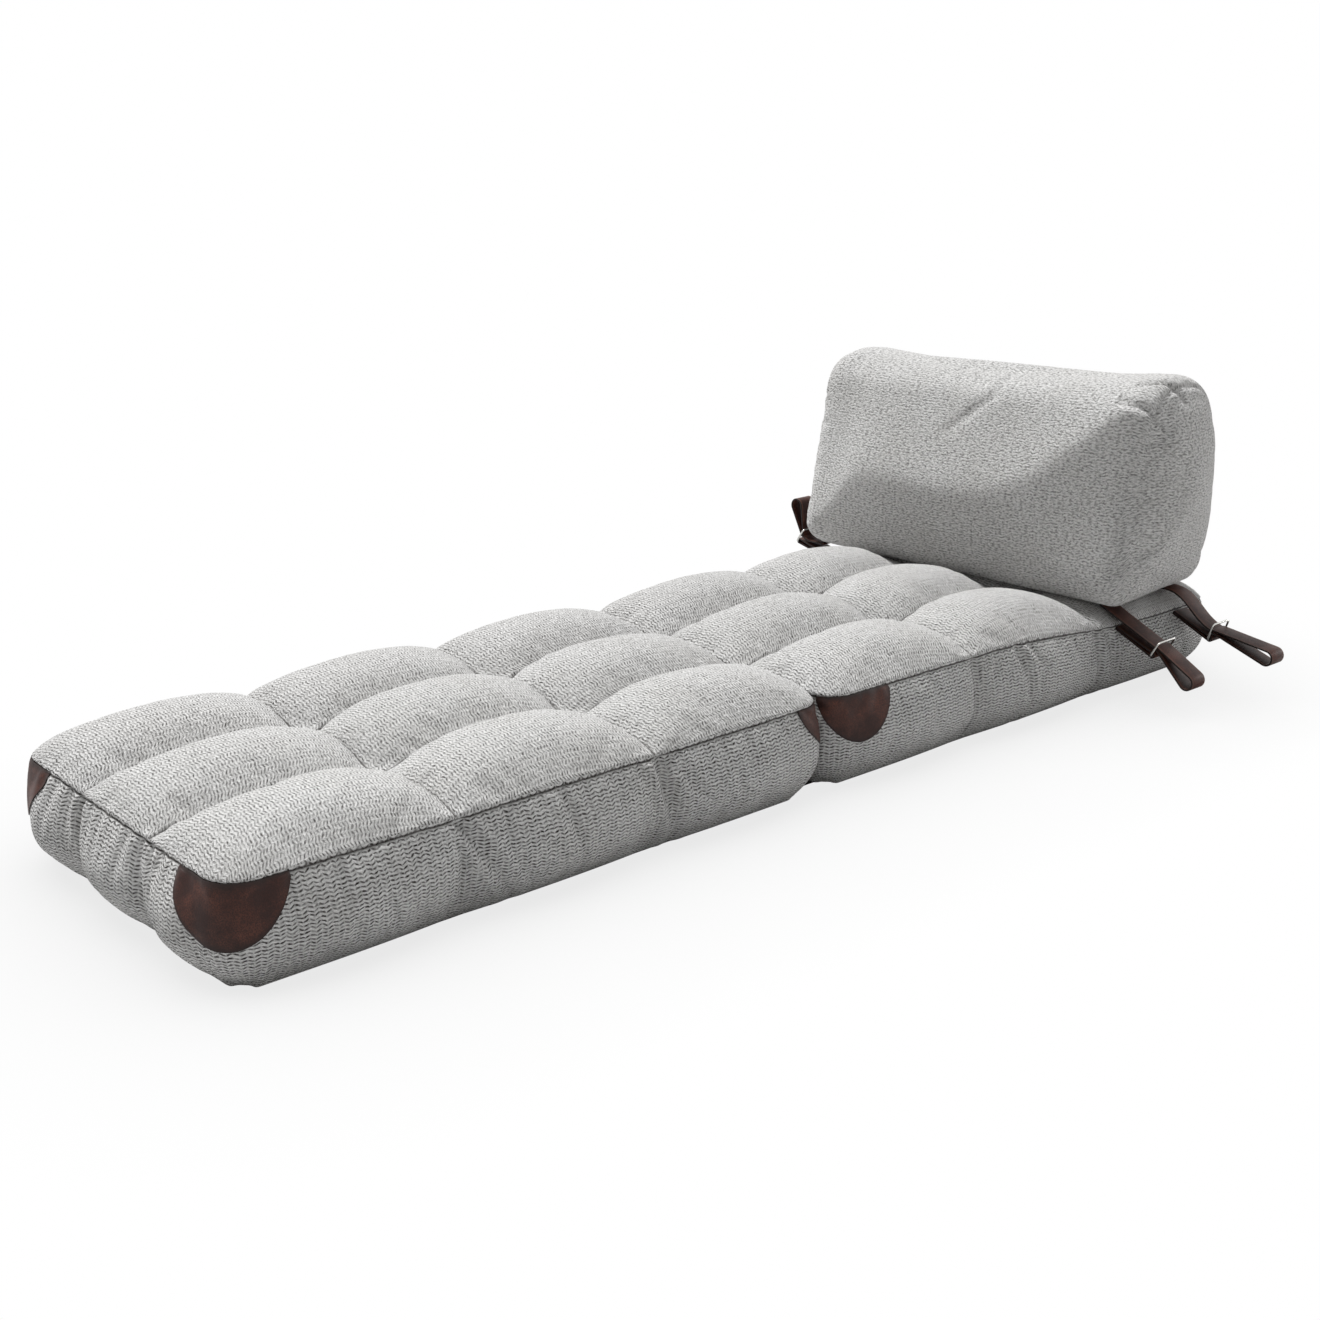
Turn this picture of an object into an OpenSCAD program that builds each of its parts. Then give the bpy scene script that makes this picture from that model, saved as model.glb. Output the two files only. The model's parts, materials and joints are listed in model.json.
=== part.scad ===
// Chair bed: two tufted cushions joined by a cloth hinge along their bottom edges,
// with a bolster strapped on the head cushion by four leather straps.
// X runs across the bed, +Y towards the head end and +Z up from the floor.
// The origin is the middle of the head cushion's underside.

/* [Cushions] */
// Width across the top seams of a cushion
cushion_w = 600; // [560:10:760]
// Length of one cushion between its top seams
cushion_len = 1028; // [960:4:1160]
// Height of the top seam above the floor
seam_h = 163; // [158:1:200]
// How far the side walls swell past the top seam
side_bulge = 26; // [12:1:34]
// How far the underside is drawn in from the top seam
base_in = 26; // [16:1:30]
// Radius of the corners in plan
corner_r = 50; // [46:1:64]
// Rise of the sewn channels above the edge seam
channel_rise = 18; // [8:1:26]
// Height of each pillow above its sewn channels
pillow_h = 38; // [20:1:44]
// How far each tuft is pulled below the channels
tuft_depth = 20; // [8:1:26]
// How far the edge is drawn in where a channel meets it
pinch = 6; // [0:1:10]
// Cloth and wadding between the foam and the side walls
cover_wall = 12; // [8:1:20]
// Cloth and wadding under the foam
cover_floor = 10; // [6:1:16]
// How much further the underside is drawn in at the corners, as a share of that
corner_tuck = 0.5; // [0.2:0.05:0.6]
// Thickness of the base cloth
base_t = 2; // [1.6:0.2:4]
// Clearance around a piece that sits inside another
fit = 0.3; // [0.2:0.1:0.6]

/* [Fold] */
// Gap between the two cushions at the fold
fold_gap = 5; // [4.6:0.2:9]
// Width of each half of the hinge strip
leaf_w = 60; // [45:1:90]
// Distance from the undersides down to the fold axis
fold_drop = 0.25; // [0.2:0.05:1]

/* [Bolster] */
// Length of the bolster between its end walls
bolster_w = 730; // [660:10:780]
// Height of the bolster
bolster_h = 384; // [340:4:430]
// Depth of the bolster's underside
bolster_d = 306; // [280:2:320]
// How far the bolster sits towards the left side
bolster_shift = 45; // [0:5:60]
// How much higher the right end of its top is than the middle, and the left end lower
top_slope = 12; // [0:1:20]
// How far the middle of its top sags
top_sag = 5; // [0:1:12]
// How far the front face leans back over its height
front_lean = 76; // [50:2:100]
// Swelling of the front and back faces at the middle
belly = 24; // [10:1:32]
// Distance from the head end to the middle of the bolster
bolster_back = 214; // [206:2:240]
// Turn of the bolster on the cushion, in degrees
bolster_turn = 6; // [0:0.5:7]
// Height of the pressed cushion under the bolster
rest_h = 170; // [168:1:176]
// How far the edge seam sinks under the bolster
seam_sink = 30; // [20:1:34]
// Cloth and wadding around the bolster's foam
bolster_wall = 38; // [30:1:50]

/* [Leather corners] */
// Drop of a corner patch below the top seam at the foot end
patch_drop = 88; // [70:1:92]
// Drop of a corner patch below the top seam at the fold
fold_patch_drop = 78; // [60:1:84]
// Thickness of the leather corners
patch_t = 1.5; // [1:0.1:1.8]
// Clearance between a leather corner and the wall behind it
patch_gap = 1.4; // [1.3:0.1:1.6]
// Clearance behind the narrow leather corners on the foot cushion's fold end
fold_patch_gap = 1; // [0.9:0.1:1.2]
// Reach of a corner patch along the walls at the foot end
patch_half = 90; // [70:1:110]
// Reach of the head cushion's corner patches along the walls at the fold
head_patch_half = 72; // [54:1:80]
// Reach of the foot cushion's corner patches along the walls at the fold
fold_patch_half = 84; // [60:1:90]
// Roundness of a patch's outline: 0.5 is a half ellipse, 1 a parabola
patch_point = 0.85; // [0.5:0.05:1]

/* [Straps and rings] */
// Width of the straps
strap_w = 38; // [28:1:42]
// Thickness of the straps
strap_t = 3.5; // [2.5:0.1:4]
// Thickness of the ring wire
ring_wire = 4; // [3:0.2:4.6]
// Inner height of the rings
ring_in_h = 28; // [28:1:34]
// Room beside a strap inside its ring
ring_side = 4; // [3:0.5:8]
// Distance from the cushion's right side wall to the rings on the right
ring_out = 65; // [54:1:80]
// Distance from the bolster's left end to the rings on the left
left_ring_out = 0; // [-2:1:20]
// Drop from the pressed cushion top to the rings
ring_drop = 56; // [50:1:60]
// Radius inside the tip of a pull loop
loop_tip_r = 11.5; // [8:0.5:13]
// Distance from the bolster's middle forward to the front straps
front_strap = 105; // [95:1:115]
// Distance from the bolster's middle back to the rear straps
rear_strap = 66; // [56:1:80]

/* [Hidden] */
cloth = "#bdbab4";
under_cloth = "#5a5653";
foam = "#e8dcae";
leather = "#4a2a22";
nickel = "#c9cbce";
thread = "#8c8881";
$fn = 48;

// Channels make three pillows each way; steps along one pillow across and along the bed
pillows = 3;
x_steps = 6;
y_steps = 8;
// Wall rings between the top seam and the underside, as shares of the drop
wall_rings = [0.1, 0.2, 0.3, 0.4, 0.52, 0.66, 0.82, 1];
half_w = cushion_w / 2;
fold_y = -cushion_len / 2;
head_end = cushion_len / 2;
wall_h = seam_h - base_t;
pillow_w = cushion_w / pillows;
pillow_len = cushion_len / pillows;
tuft_reach = 45;

// Height above a channel, from 0 on the channels to 1 at a pillow's middle
function swell(s) = pow(max(0, 4 * s * (1 - s)), 0.5);
function within(s) = s * pillows - min(pillows - 1, floor(s * pillows + 0.0001));
function pillow_wave(s) = abs(sin(180 * pillows * s));
function drawn(s) = s > 0.5 / pillows && s < 1 - 0.5 / pillows ? 1 - sqrt(pillow_wave(s)) : 0;
function ease(s) = let (c = min(1, max(0, s))) c * c * (3 - 2 * c);

// Grid places: two short steps round each corner, and one on every channel
function place(k, steps, size) =
    let (pillow = size / pillows)
    k <= 2 ? k * corner_r / 2
    : k <= steps ? corner_r + (k - 2) * (pillow - corner_r) / (steps - 2)
    : k <= 2 * steps ? pillow * (k / steps)
    : size - place(pillows * steps - k, steps, size);

// The edge seam sinks towards the head end, where the bolster presses
sink_start = cushion_len * 0.35;
sink_end = cushion_len * 0.84;
function seam_z(p, pressed) =
    seam_h - (pressed ? seam_sink * ease((p - sink_start) / (sink_end - sink_start)) : 0);

// The cushion's top may not stand higher than this, so that the bolster rests on it
bolster_y = head_end - bolster_back;
press_margin = 16;
press_slope = 1.2;
edge_band = 90;
edge_drop = 30;
function bolster_front(x, y) = (y - bolster_y) * cos(bolster_turn) - x * sin(bolster_turn);
function press_cap(x, y) =
    let (ahead = -bolster_d / 2 - press_margin - bolster_front(x, y))
    let (edge = max(0, (abs(x) - (half_w - edge_band)) / edge_band))
    rest_h + press_slope * max(0, ahead) - edge_drop * edge * edge;

function tuft_pull(x, p) =
    let (dx = abs(x) - pillow_w / 2)
    let (dp = abs(p - cushion_len / 2) - pillow_len / 2)
    exp(-(dx * dx + dp * dp) / (2 * tuft_reach * tuft_reach));

// Height of the top at a place x across and p from the fold
function top_z(x, p, pressed) =
    let (u = (x + half_w) / cushion_w)
    let (v = p / cushion_len)
    let (inner = swell(u) * swell(v))
    let (dip = drawn(v) * (1 - swell(u)) + drawn(u) * (1 - swell(v)))
    let (pillow = swell(within(u)) * swell(within(v)))
    let (free = seam_z(p, pressed) + channel_rise * inner + pillow_h * pillow
        - tuft_depth * tuft_pull(x, p) - pinch * dip)
    pressed ? min(free, press_cap(x, fold_y + p)) : free;

// Rounds the corners of the grid in plan
function round_corner(x, p) =
    let (ex = abs(x) - (half_w - corner_r))
    let (ep = abs(p - cushion_len / 2) - (cushion_len / 2 - corner_r))
    ex <= 0 || ep <= 0 ? [x, p] :
    let (turn = ex >= ep ? 45 * ep / ex : 90 - 45 * ex / ep)
    let (reach = max(ex, ep))
    [
        sign(x) * (half_w - corner_r + reach * cos(turn)),
        cushion_len / 2 + sign(p - cushion_len / 2) * (cushion_len / 2 - corner_r + reach * sin(turn))
    ];

// Outward direction of the wall, level with the floor
function wall_out(x, p) =
    let (ex = abs(x) - (half_w - corner_r))
    let (ep = abs(p - cushion_len / 2) - (cushion_len / 2 - corner_r))
    let (side = [sign(x), 0])
    let (end = [0, sign(p - cushion_len / 2)])
    ex > 0.01 && ep > 0.01 ? (side * ex + end * ep) / norm([ex, ep])
    : ep > 0.01 || ex <= 0.01 ? end : side;

// Share of the wall's length that its swelling follows: it starts where the corner ends
function past_corner(d, size) =
    let (half_pillow = size / pillows / 2)
    let (near = min(d, size - d))
    (near > half_pillow ? d : max(0, near - corner_r) * half_pillow / (half_pillow - corner_r)) / size;
function wall_share(x, p) =
    let (ex = abs(x) - (half_w - corner_r))
    let (ep = abs(p - cushion_len / 2) - (cushion_len / 2 - corner_r))
    ex > 0.01 && ep > 0.01 ? 0
    : ep > 0.01 || ex <= 0.01 ? past_corner(x + half_w, cushion_w)
    : past_corner(p, cushion_len);

// How far the wall stands out at a share f of its drop, where it faces along out
function wall_off(f, t, out) =
    side_bulge * sin(180 * f) * (0.3 + 0.7 * pillow_wave(t))
    - pinch * drawn(t)
    - base_in * (1 + corner_tuck * 2 * abs(out[0] * out[1])) * pow(max(0, (f - 0.55) / 0.45), 2);

// A point on the wall, with the fold's end kept flat
function wall_point(place, out, t, f, extra, pressed) =
    let (q = place + out * wall_off(f, t, out))
    let (z_top = seam_z(place[1], pressed) - pinch * drawn(t))
    [q[0] + out[0] * extra, max(0, q[1]) + out[1] * extra, z_top + (base_t - z_top) * f];

nx = pillows * x_steps;
ny = pillows * y_steps;
edge_grid = concat(
    [for (i = [0:nx - 1]) [i, 0]],
    [for (j = [0:ny - 1]) [nx, j]],
    [for (i = [nx:-1:1]) [i, ny]],
    [for (j = [ny:-1:1]) [0, j]]
);
edge_n = len(edge_grid);
function grid_x(i) = place(i, x_steps, cushion_w) - half_w;
function grid_p(j) = place(j, y_steps, cushion_len);
function grid_top(i, j, pressed) =
    let (x = grid_x(i))
    let (p = grid_p(j))
    let (c = round_corner(x, p))
    let (edge = i == 0 || i == nx || j == 0 || j == ny)
    edge ? wall_point(c, wall_out(x, p), wall_share(x, p), 0, 0, pressed)
    : [c[0], c[1], top_z(x, p, pressed)];

function cushion_points(pressed) = concat(
    [for (j = [0:ny]) for (i = [0:nx]) grid_top(i, j, pressed)],
    [
        for (f = wall_rings) for (e = edge_grid)
            let (x = grid_x(e[0]))
            let (p = grid_p(e[1]))
            wall_point(round_corner(x, p), wall_out(x, p), wall_share(x, p), f, 0, pressed)
    ],
    [[0, cushion_len / 2, base_t]]
);
grid_n = (nx + 1) * (ny + 1);
function edge_id(k, m) =
    let (e = edge_grid[m % edge_n])
    k == 0 ? e[1] * (nx + 1) + e[0] : grid_n + (k - 1) * edge_n + m % edge_n;
function top_faces() = [
    for (j = [0:ny - 1]) for (i = [0:nx - 1]) for (half = [0, 1])
        let (a = j * (nx + 1) + i)
        half == 0 ? [a, a + nx + 1, a + nx + 2] : [a, a + nx + 2, a + 1]
];
function wall_faces() = [
    for (k = [0:len(wall_rings) - 1]) for (m = [0:edge_n - 1]) for (half = [0, 1])
        half == 0 ? [edge_id(k, m), edge_id(k, m + 1), edge_id(k + 1, m + 1)]
        : [edge_id(k, m), edge_id(k + 1, m + 1), edge_id(k + 1, m)]
];
function under_faces() =
    let (last = len(wall_rings))
    [for (m = [0:edge_n - 1]) [edge_id(last, m), edge_id(last, m + 1), grid_n + last * edge_n]];

// The tufted form, from the fold at y = 0 to the outer end
module cushion_form(pressed) {
    polyhedron(
        points = cushion_points(pressed),
        faces = concat(top_faces(), wall_faces(), under_faces()),
        convexity = 6
    );
}

foam_in = base_in + cover_wall;
foam_low = base_t + cover_floor;
foam_high = seam_h - seam_sink - cover_wall;
// Box of the foam slab, grown by a clearance
module foam_box(grow) {
    translate([-half_w + foam_in - grow, foam_in - grow, foam_low - grow])
        cube([
            cushion_w - 2 * foam_in + 2 * grow,
            cushion_len - 2 * foam_in + 2 * grow,
            foam_high - foam_low + 2 * grow
        ]);
}

module cushion_cover(pressed) {
    color(cloth) difference() {
        cushion_form(pressed);
        foam_box(fit);
    }
}

tie_r = 1.5;
// Puts its children at the four tufts
module at_tufts() {
    for (x = [-pillow_w / 2, pillow_w / 2])
        for (p = [pillow_len, 2 * pillow_len])
            translate([x, p, 0]) children();
}

module cushion_foam() {
    color(foam) difference() {
        foam_box(0);
        at_tufts()
            translate([0, 0, foam_low - 1])
                cylinder(r = tie_r + fit, h = foam_high - foam_low + 2);
    }
}

// Cords that hold each tuft down through the foam
module cushion_ties() {
    color(thread) at_tufts()
        translate([0, 0, foam_low - fit])
            cylinder(r = tie_r, h = foam_high - foam_low + 2 * fit);
}

// Flat cloth with round corners, from the hinge leaf to the outer end
module base_cloth() {
    edge = base_in + pinch + 2;
    w = cushion_w - 2 * edge;
    start = leaf_w + fit;
    l = cushion_len - edge - start;
    r = corner_r - edge + pinch;
    color(under_cloth) translate([-w / 2, start, 0]) linear_extrude(base_t) union() {
        translate([0, r]) square([w, l - 2 * r]);
        translate([r, 0]) square([w - 2 * r, l]);
        for (x = [r, w - r])
            for (y = [r, l - r])
                translate([x, y]) circle(r);
    }
}

// One half of the cloth hinge, sewn under the cushion's edge
module hinge_leaf() {
    w = cushion_w - 2 * (base_in + pinch + 2);
    start = -fold_gap / 2 + fit / 2;
    color(under_cloth) translate([-w / 2, start, 0])
        cube([w, leaf_w - start, base_t - fit]);
}

wall_cols = 4;
patch_rows = 6;
round_half = corner_r * PI / 4;
round_cols = [-round_half, -round_half / 2, 0, round_half / 2, round_half];
// A place on the edge, s along it from the corner's middle, towards the side wall
function corner_place(s, fold) =
    let (turn = 45 + 45 * min(1, max(-1, s / round_half)))
    let (x = half_w - corner_r + corner_r * sin(turn) - max(0, -s - round_half))
    let (d = cushion_len - corner_r + corner_r * cos(turn) - max(0, s - round_half))
    let (past = abs(s) - round_half)
    let (t = past <= 0 ? 0 : s < 0 ? past_corner(x + half_w, cushion_w) : past_corner(d, cushion_len))
    [[x, fold ? cushion_len - d : d], [sin(turn), (fold ? -1 : 1) * cos(turn)], t];

// A leather corner: half-round, hung from the top seam round the corner
module corner_patch(middle, half, low, gap, fold, pressed) {
    first = middle - half * 0.98;
    last = middle + half * 0.98;
    bend = min(first, -round_half);
    reach = max(last, round_half);
    cols = concat(
        [for (i = [0:wall_cols - 1]) if (first < bend + 0.01) bend - (bend + round_half) * i / wall_cols],
        first > bend + 0.01 ? [first] : [],
        [for (s = round_cols) if (s > first + 2 && s < last - 2) s],
        last < reach - 0.01 ? [last] : [],
        [for (i = [1:wall_cols]) if (last > round_half + 2) round_half + (last - round_half) * i / wall_cols]
    );
    patch_cols = len(cols) - 1;
    points = [
        for (extra = [gap, gap + patch_t]) for (s = cols) for (row = [0:patch_rows])
            let (spot = corner_place(s, fold))
            let (drop = low * pow(1 - pow((s - middle) / half, 2), patch_point) / wall_h)
            wall_point(spot[0], spot[1], spot[2], 0.01 + drop * row / patch_rows, extra, pressed)
    ];
    rows = patch_rows + 1;
    layer = (patch_cols + 1) * rows;
    skin = [
        for (c = [0:patch_cols - 1]) for (row = [0:patch_rows - 1]) for (half_face = [0, 1])
            let (a = c * rows + row)
            half_face == 0 ? [a, a + rows, a + rows + 1] : [a, a + rows + 1, a + 1]
    ];
    rim = concat(
        [for (c = [0:patch_cols - 1]) c * rows],
        [for (row = [0:patch_rows - 1]) patch_cols * rows + row],
        [for (c = [patch_cols:-1:1]) c * rows + patch_rows],
        [for (row = [patch_rows:-1:1]) row]
    );
    rim_n = len(rim);
    band = [
        for (m = [0:rim_n - 1]) for (half_face = [0, 1])
            let (a = rim[m])
            let (b = rim[(m + 1) % rim_n])
            half_face == 0 ? [b, a, a + layer] : [b, a + layer, b + layer]
    ];
    outer = [for (f = skin) [f[2] + layer, f[1] + layer, f[0] + layer]];
    faces = [for (f = concat(skin, outer, band)) fold ? [f[2], f[1], f[0]] : f];
    color(leather) polyhedron(points = points, faces = faces, convexity = 4);
}

// Sets a cushion piece on the head side or the foot side of the fold
module on_head() {
    translate([0, fold_y + fold_gap / 2, 0]) children();
}
module on_foot() {
    translate([0, fold_y - fold_gap / 2, 0]) mirror([0, 1, 0]) children();
}
module on_left() {
    mirror([1, 0, 0]) children();
}

head_patch_middle = 51;
foot_patch_middle = -6;
fold_patch_middle = -30;

// Bolster profile: a four-cornered outline with round corners and swollen sides
profile = [
    [-bolster_d / 2, 0, 34],
    [bolster_d / 2, 0, 36],
    [bolster_d / 2 - 4, bolster_h, 112],
    [-bolster_d / 2 + front_lean, bolster_h, 62]
];
arc_steps = 5;
side_steps = 4;
function unit(v) = v / norm(v);
function corner_arc(k) =
    let (c = profile[k])
    let (before = profile[(k + 3) % 4])
    let (after = profile[(k + 1) % 4])
    let (a = unit([before[0] - c[0], before[1] - c[1]]))
    let (b = unit([after[0] - c[0], after[1] - c[1]]))
    let (open = acos(a * b))
    let (mid = [c[0], c[1]] + unit(a + b) * c[2] / sin(open / 2))
    let (from = atan2(-a[0], a[1]) + 180)
    [
        for (i = [0:arc_steps])
            let (turn = from + (180 - open) * i / arc_steps)
            mid + c[2] * [cos(turn), sin(turn)]
    ];
side_swell = [0, belly, belly * 0.6, belly];
function profile_side(k, share) =
    let (from = corner_arc(k)[arc_steps])
    let (to = corner_arc((k + 1) % 4)[0])
    let (along = unit(to - from))
    [
        for (i = [1:side_steps - 1])
            let (t = i / side_steps)
            from + (to - from) * t + [along[1], -along[0]] * side_swell[k] * share * sin(180 * t)
    ];
function bolster_outline(share) = [
    for (k = [0:3]) for (q = concat(corner_arc(k), profile_side(k, share))) q
];
outline_n = 4 * (arc_steps + side_steps);
bolster_mid = [bolster_d * 0.04, bolster_h * 0.53];
end_round = 50;
end_shrink = 0.2;
end_dome = 24;
// Rings of the domed ends, as shares of the end section's size
dome_rings = [0.75, 0.4];
body_steps = 10;
round_steps = 4;
// Sections from the middle of the bolster to one end: distance out, size and swelling
function half_sections() = concat(
    [
        for (i = [0:body_steps / 2])
            let (u = 2 * i / body_steps)
            [u * (bolster_w / 2 - end_round), 1, 1 - 0.7 * u * u]
    ],
    [
        for (i = [1:round_steps])
            let (turn = 90 * i / round_steps)
            [
                bolster_w / 2 - end_round * (1 - sin(turn)),
                1 - end_shrink * (1 - cos(turn)),
                0.3
            ]
    ],
    [
        for (s = dome_rings)
            [bolster_w / 2 + end_dome * (1 - s * s), (1 - end_shrink) * s, 0.3]
    ]
);
halves = half_sections();
half_n = len(halves);
sections = concat(
    [for (k = [half_n - 1:-1:1]) [-halves[k][0], halves[k][1], halves[k][2]]],
    halves
);
section_n = len(sections);
// How far the top stands above its mean height at a place u along the bolster, from -1 to 1
function top_rise(u, z) =
    (top_slope * u - top_sag * (1 - u * u)) * ease(z / bolster_h);
function bolster_points() = concat(
    [
        for (s = sections) for (q = bolster_outline(s[2]))
            let (r = bolster_mid + (q - bolster_mid) * s[1])
            [s[0], r[0], r[1] + top_rise(2 * s[0] / bolster_w, r[1])]
    ],
    [
        [-bolster_w / 2 - end_dome, bolster_mid[0], bolster_mid[1]],
        [bolster_w / 2 + end_dome, bolster_mid[0], bolster_mid[1]]
    ]
);
function ring_id(k, m) = k * outline_n + m % outline_n;
bolster_faces = concat(
    [
        for (k = [0:section_n - 2]) for (m = [0:outline_n - 1]) for (half = [0, 1])
            half == 0 ? [ring_id(k, m), ring_id(k, m + 1), ring_id(k + 1, m + 1)]
            : [ring_id(k, m), ring_id(k + 1, m + 1), ring_id(k + 1, m)]
    ],
    [for (m = [0:outline_n - 1]) [ring_id(0, m + 1), ring_id(0, m), section_n * outline_n]],
    [
        for (m = [0:outline_n - 1])
            [ring_id(section_n - 1, m), ring_id(section_n - 1, m + 1), section_n * outline_n + 1]
    ]
);

// Sets the bolster on the pressed part of the head cushion
bolster_z = rest_h + fit;
module on_cushion() {
    translate([0, bolster_y, bolster_z]) rotate([0, 0, bolster_turn])
        translate([-bolster_shift, 0, 0]) children();
}

bolster_foam_w = bolster_w - 2 * (bolster_wall + end_round * 0.5);
// Foam block inside the bolster, grown by a clearance
module bolster_block(grow) {
    low = bolster_wall;
    high = bolster_h - bolster_wall;
    back = bolster_d / 2 - bolster_wall;
    lean = front_lean * 0.9;
    translate([-bolster_foam_w / 2 - grow, 0, 0])
        rotate([90, 0, 90])
            linear_extrude(bolster_foam_w + 2 * grow)
                polygon([
                    [-back - grow, low - grow],
                    [back + grow, low - grow],
                    [back - bolster_wall * 0.6 + grow, high + grow],
                    [-back + lean - grow, high + grow]
                ]);
}

module bolster_cover() {
    color(cloth) on_cushion() difference() {
        polyhedron(points = bolster_points(), faces = bolster_faces, convexity = 4);
        bolster_block(fit);
    }
}

module bolster_foam() {
    color(foam) on_cushion() bolster_block(0);
}

// Straps, in the order right front, right rear, left front, left rear:
// side, distance from the bolster's middle, rise of the ring, tilt of the ring,
// angle of the pull loop above level and its length
straps = [
    [1, -front_strap, 0, -30, -36, 94],
    [1, rear_strap, -3, -18, -12, 128],
    [-1, -front_strap, 62, 34, 72, 76],
    [-1, rear_strap, -3, -24, -34, 94]
];
function side_of(k) = straps[k][0];
// How far the bolster's end lies from the bed's middle on a strap's side
function end_x(k) = bolster_w / 2 - side_of(k) * bolster_shift;
function ring_x(k) =
    max(half_w + side_bulge, end_x(k)) + (side_of(k) > 0 ? ring_out : left_ring_out);
ring_in_w = strap_w + 2 * ring_side;
bar = (ring_in_h + ring_wire) / 2;
ring_r = 6;
eye_r = ring_wire / 2 + fit;
nose_r = strap_t + 0.4;

// Where a strap runs: its place along the bed follows the turned bolster
function strap_y(k) = bolster_y + straps[k][1] + side_of(k) * ring_x(k) * tan(bolster_turn);
function ring_z(k) = rest_h - ring_drop + straps[k][2];
function ring_up(k) = [-sin(straps[k][3]), cos(straps[k][3])];
function low_bar(k) = [ring_x(k), ring_z(k)] - bar * ring_up(k);
// The anchor strap leaves the edge seam with its fold resting against the side wall
anchor_below = 2;
function anchor_x(p, z) =
    let (share = past_corner(p, cushion_len))
    let (top = wall_point([half_w, p], [1, 0], share, 0, 0, true))
    let (low = wall_point([half_w, p], [1, 0], share, wall_rings[0], 0, true))
    let (drop = top[2] - low[2])
    let (slope = (low[0] - top[0]) / drop)
    top[0] + slope * (top[2] - z) + (nose_r + fit) * sqrt(1 + slope * slope);
function anchor_from(k) =
    let (p = strap_y(k) - fold_y - fold_gap / 2)
    let (z = seam_z(p, true) - nose_r - anchor_below)
    [max([for (d = [-0.5, 0, 0.5]) anchor_x(p + d * strap_w, z)]), z];

// Puts a strap's flat outline, drawn in x and z, at its place and on its side
module at_strap(k) {
    translate([0, strap_y(k), 0])
        mirror([side_of(k) < 0 ? 1 : 0, 0, 0])
            rotate([90, 0, 0]) children();
}

// Outline round a small circle at the origin and a larger one further out
tear_steps = 12;
function tear(r1, r2, d) =
    let (lean = asin((r2 - r1) / d))
    concat(
        [
            for (i = [0:tear_steps])
                let (turn = 90 + lean + (180 - 2 * lean) * i / tear_steps)
                r1 * [cos(turn), sin(turn)]
        ],
        [
            for (i = [0:tear_steps])
                let (turn = -90 - lean + (180 + 2 * lean) * i / tear_steps)
                [d, 0] + r2 * [cos(turn), sin(turn)]
        ]
    );

// A strap folded on itself into a loop, from a narrow nose to a round tip
module strap_loop(from, angle, d, tip_r) {
    translate([from[0], from[1], -strap_w / 2]) rotate([0, 0, angle])
        linear_extrude(strap_w) difference() {
            polygon(tear(nose_r, tip_r + strap_t, d));
            polygon(tear(nose_r - strap_t, tip_r, d));
        }
}

module anchor_strap(k) {
    from = anchor_from(k);
    reach = low_bar(k) - from;
    color(leather) at_strap(k)
        strap_loop(from, atan2(reach[1], reach[0]), norm(reach), eye_r);
}

module pull_loop(k) {
    color(leather) at_strap(k)
        strap_loop(
            [ring_x(k), ring_z(k)], straps[k][4],
            straps[k][5] - loop_tip_r - strap_t, loop_tip_r
        );
}

// A rectangular wire ring with round corners: a closed tube of flat steps.
// Its middle line is drawn in y and z: a middle for each corner, and spokes out to the wire
ring_bends = 3;
wire_sides = 12;
ring_step = 90 / (ring_bends + 1);
ring_spokes = 4 * (ring_bends + 1);
function corner_middle(i) =
    let (turn = 90 * floor(i / (ring_bends + 1)) + 45)
    [
        sign(cos(turn)) * ((ring_in_w + ring_wire) / 2 - ring_r),
        sign(sin(turn)) * (bar - ring_r)
    ];
ring_points = [
    for (i = [0:ring_spokes - 1]) for (side = [0:wire_sides - 1])
        let (turn = ring_step * (i + 0.5))
        let (round_wire = 360 * (side + 0.5) / wire_sides)
        let (out = (ring_r + ring_wire / 2 * cos(round_wire)) / cos(ring_step / 2))
        let (spot = corner_middle(i) + out * [cos(turn), sin(turn)])
        [ring_wire / 2 * sin(round_wire), spot[0], spot[1]]
];
function wire_id(i, side) = (i % ring_spokes) * wire_sides + side % wire_sides;
ring_faces = [
    for (i = [0:ring_spokes - 1]) for (side = [0:wire_sides - 1]) for (half = [0, 1])
        half == 0 ? [wire_id(i, side), wire_id(i + 1, side), wire_id(i + 1, side + 1)]
        : [wire_id(i, side), wire_id(i + 1, side + 1), wire_id(i, side + 1)]
];

module ring(k) {
    color(nickel)
        translate([side_of(k) * ring_x(k), strap_y(k), ring_z(k)])
            mirror([side_of(k) < 0 ? 1 : 0, 0, 0])
                rotate([0, -straps[k][3], 0])
                    polyhedron(points = ring_points, faces = ring_faces, convexity = 4);
}

curve_steps = 14;
function curve(a, b, c, d, t) =
    pow(1 - t, 3) * a + 3 * pow(1 - t, 2) * t * b + 3 * (1 - t) * t * t * c + pow(t, 3) * d;
under_run = 22;
// Middle line of a bolster strap: flat under the bolster's end, then out to the ring
function bolster_path(k) =
    let (out = [cos(straps[k][3]), sin(straps[k][3])])
    let (level = bolster_z - fit - strap_t / 2)
    let (start = [end_x(k) - end_round - under_run + 14, level])
    let (bend = start + [under_run, 0])
    let (stop = [ring_x(k), ring_z(k)] - out * (nose_r + 0.6))
    let (pull = norm(stop - bend) * 0.4)
    concat(
        [start],
        [
            for (i = [0:curve_steps])
                curve(bend, bend + [pull, 0], stop - out * pull, stop, i / curve_steps)
        ]
    );
function side_line(path, d) = [
    for (i = [0:len(path) - 1])
        let (along = unit(path[min(i + 1, len(path) - 1)] - path[max(i - 1, 0)]))
        path[i] + d * [-along[1], along[0]]
];

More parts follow.
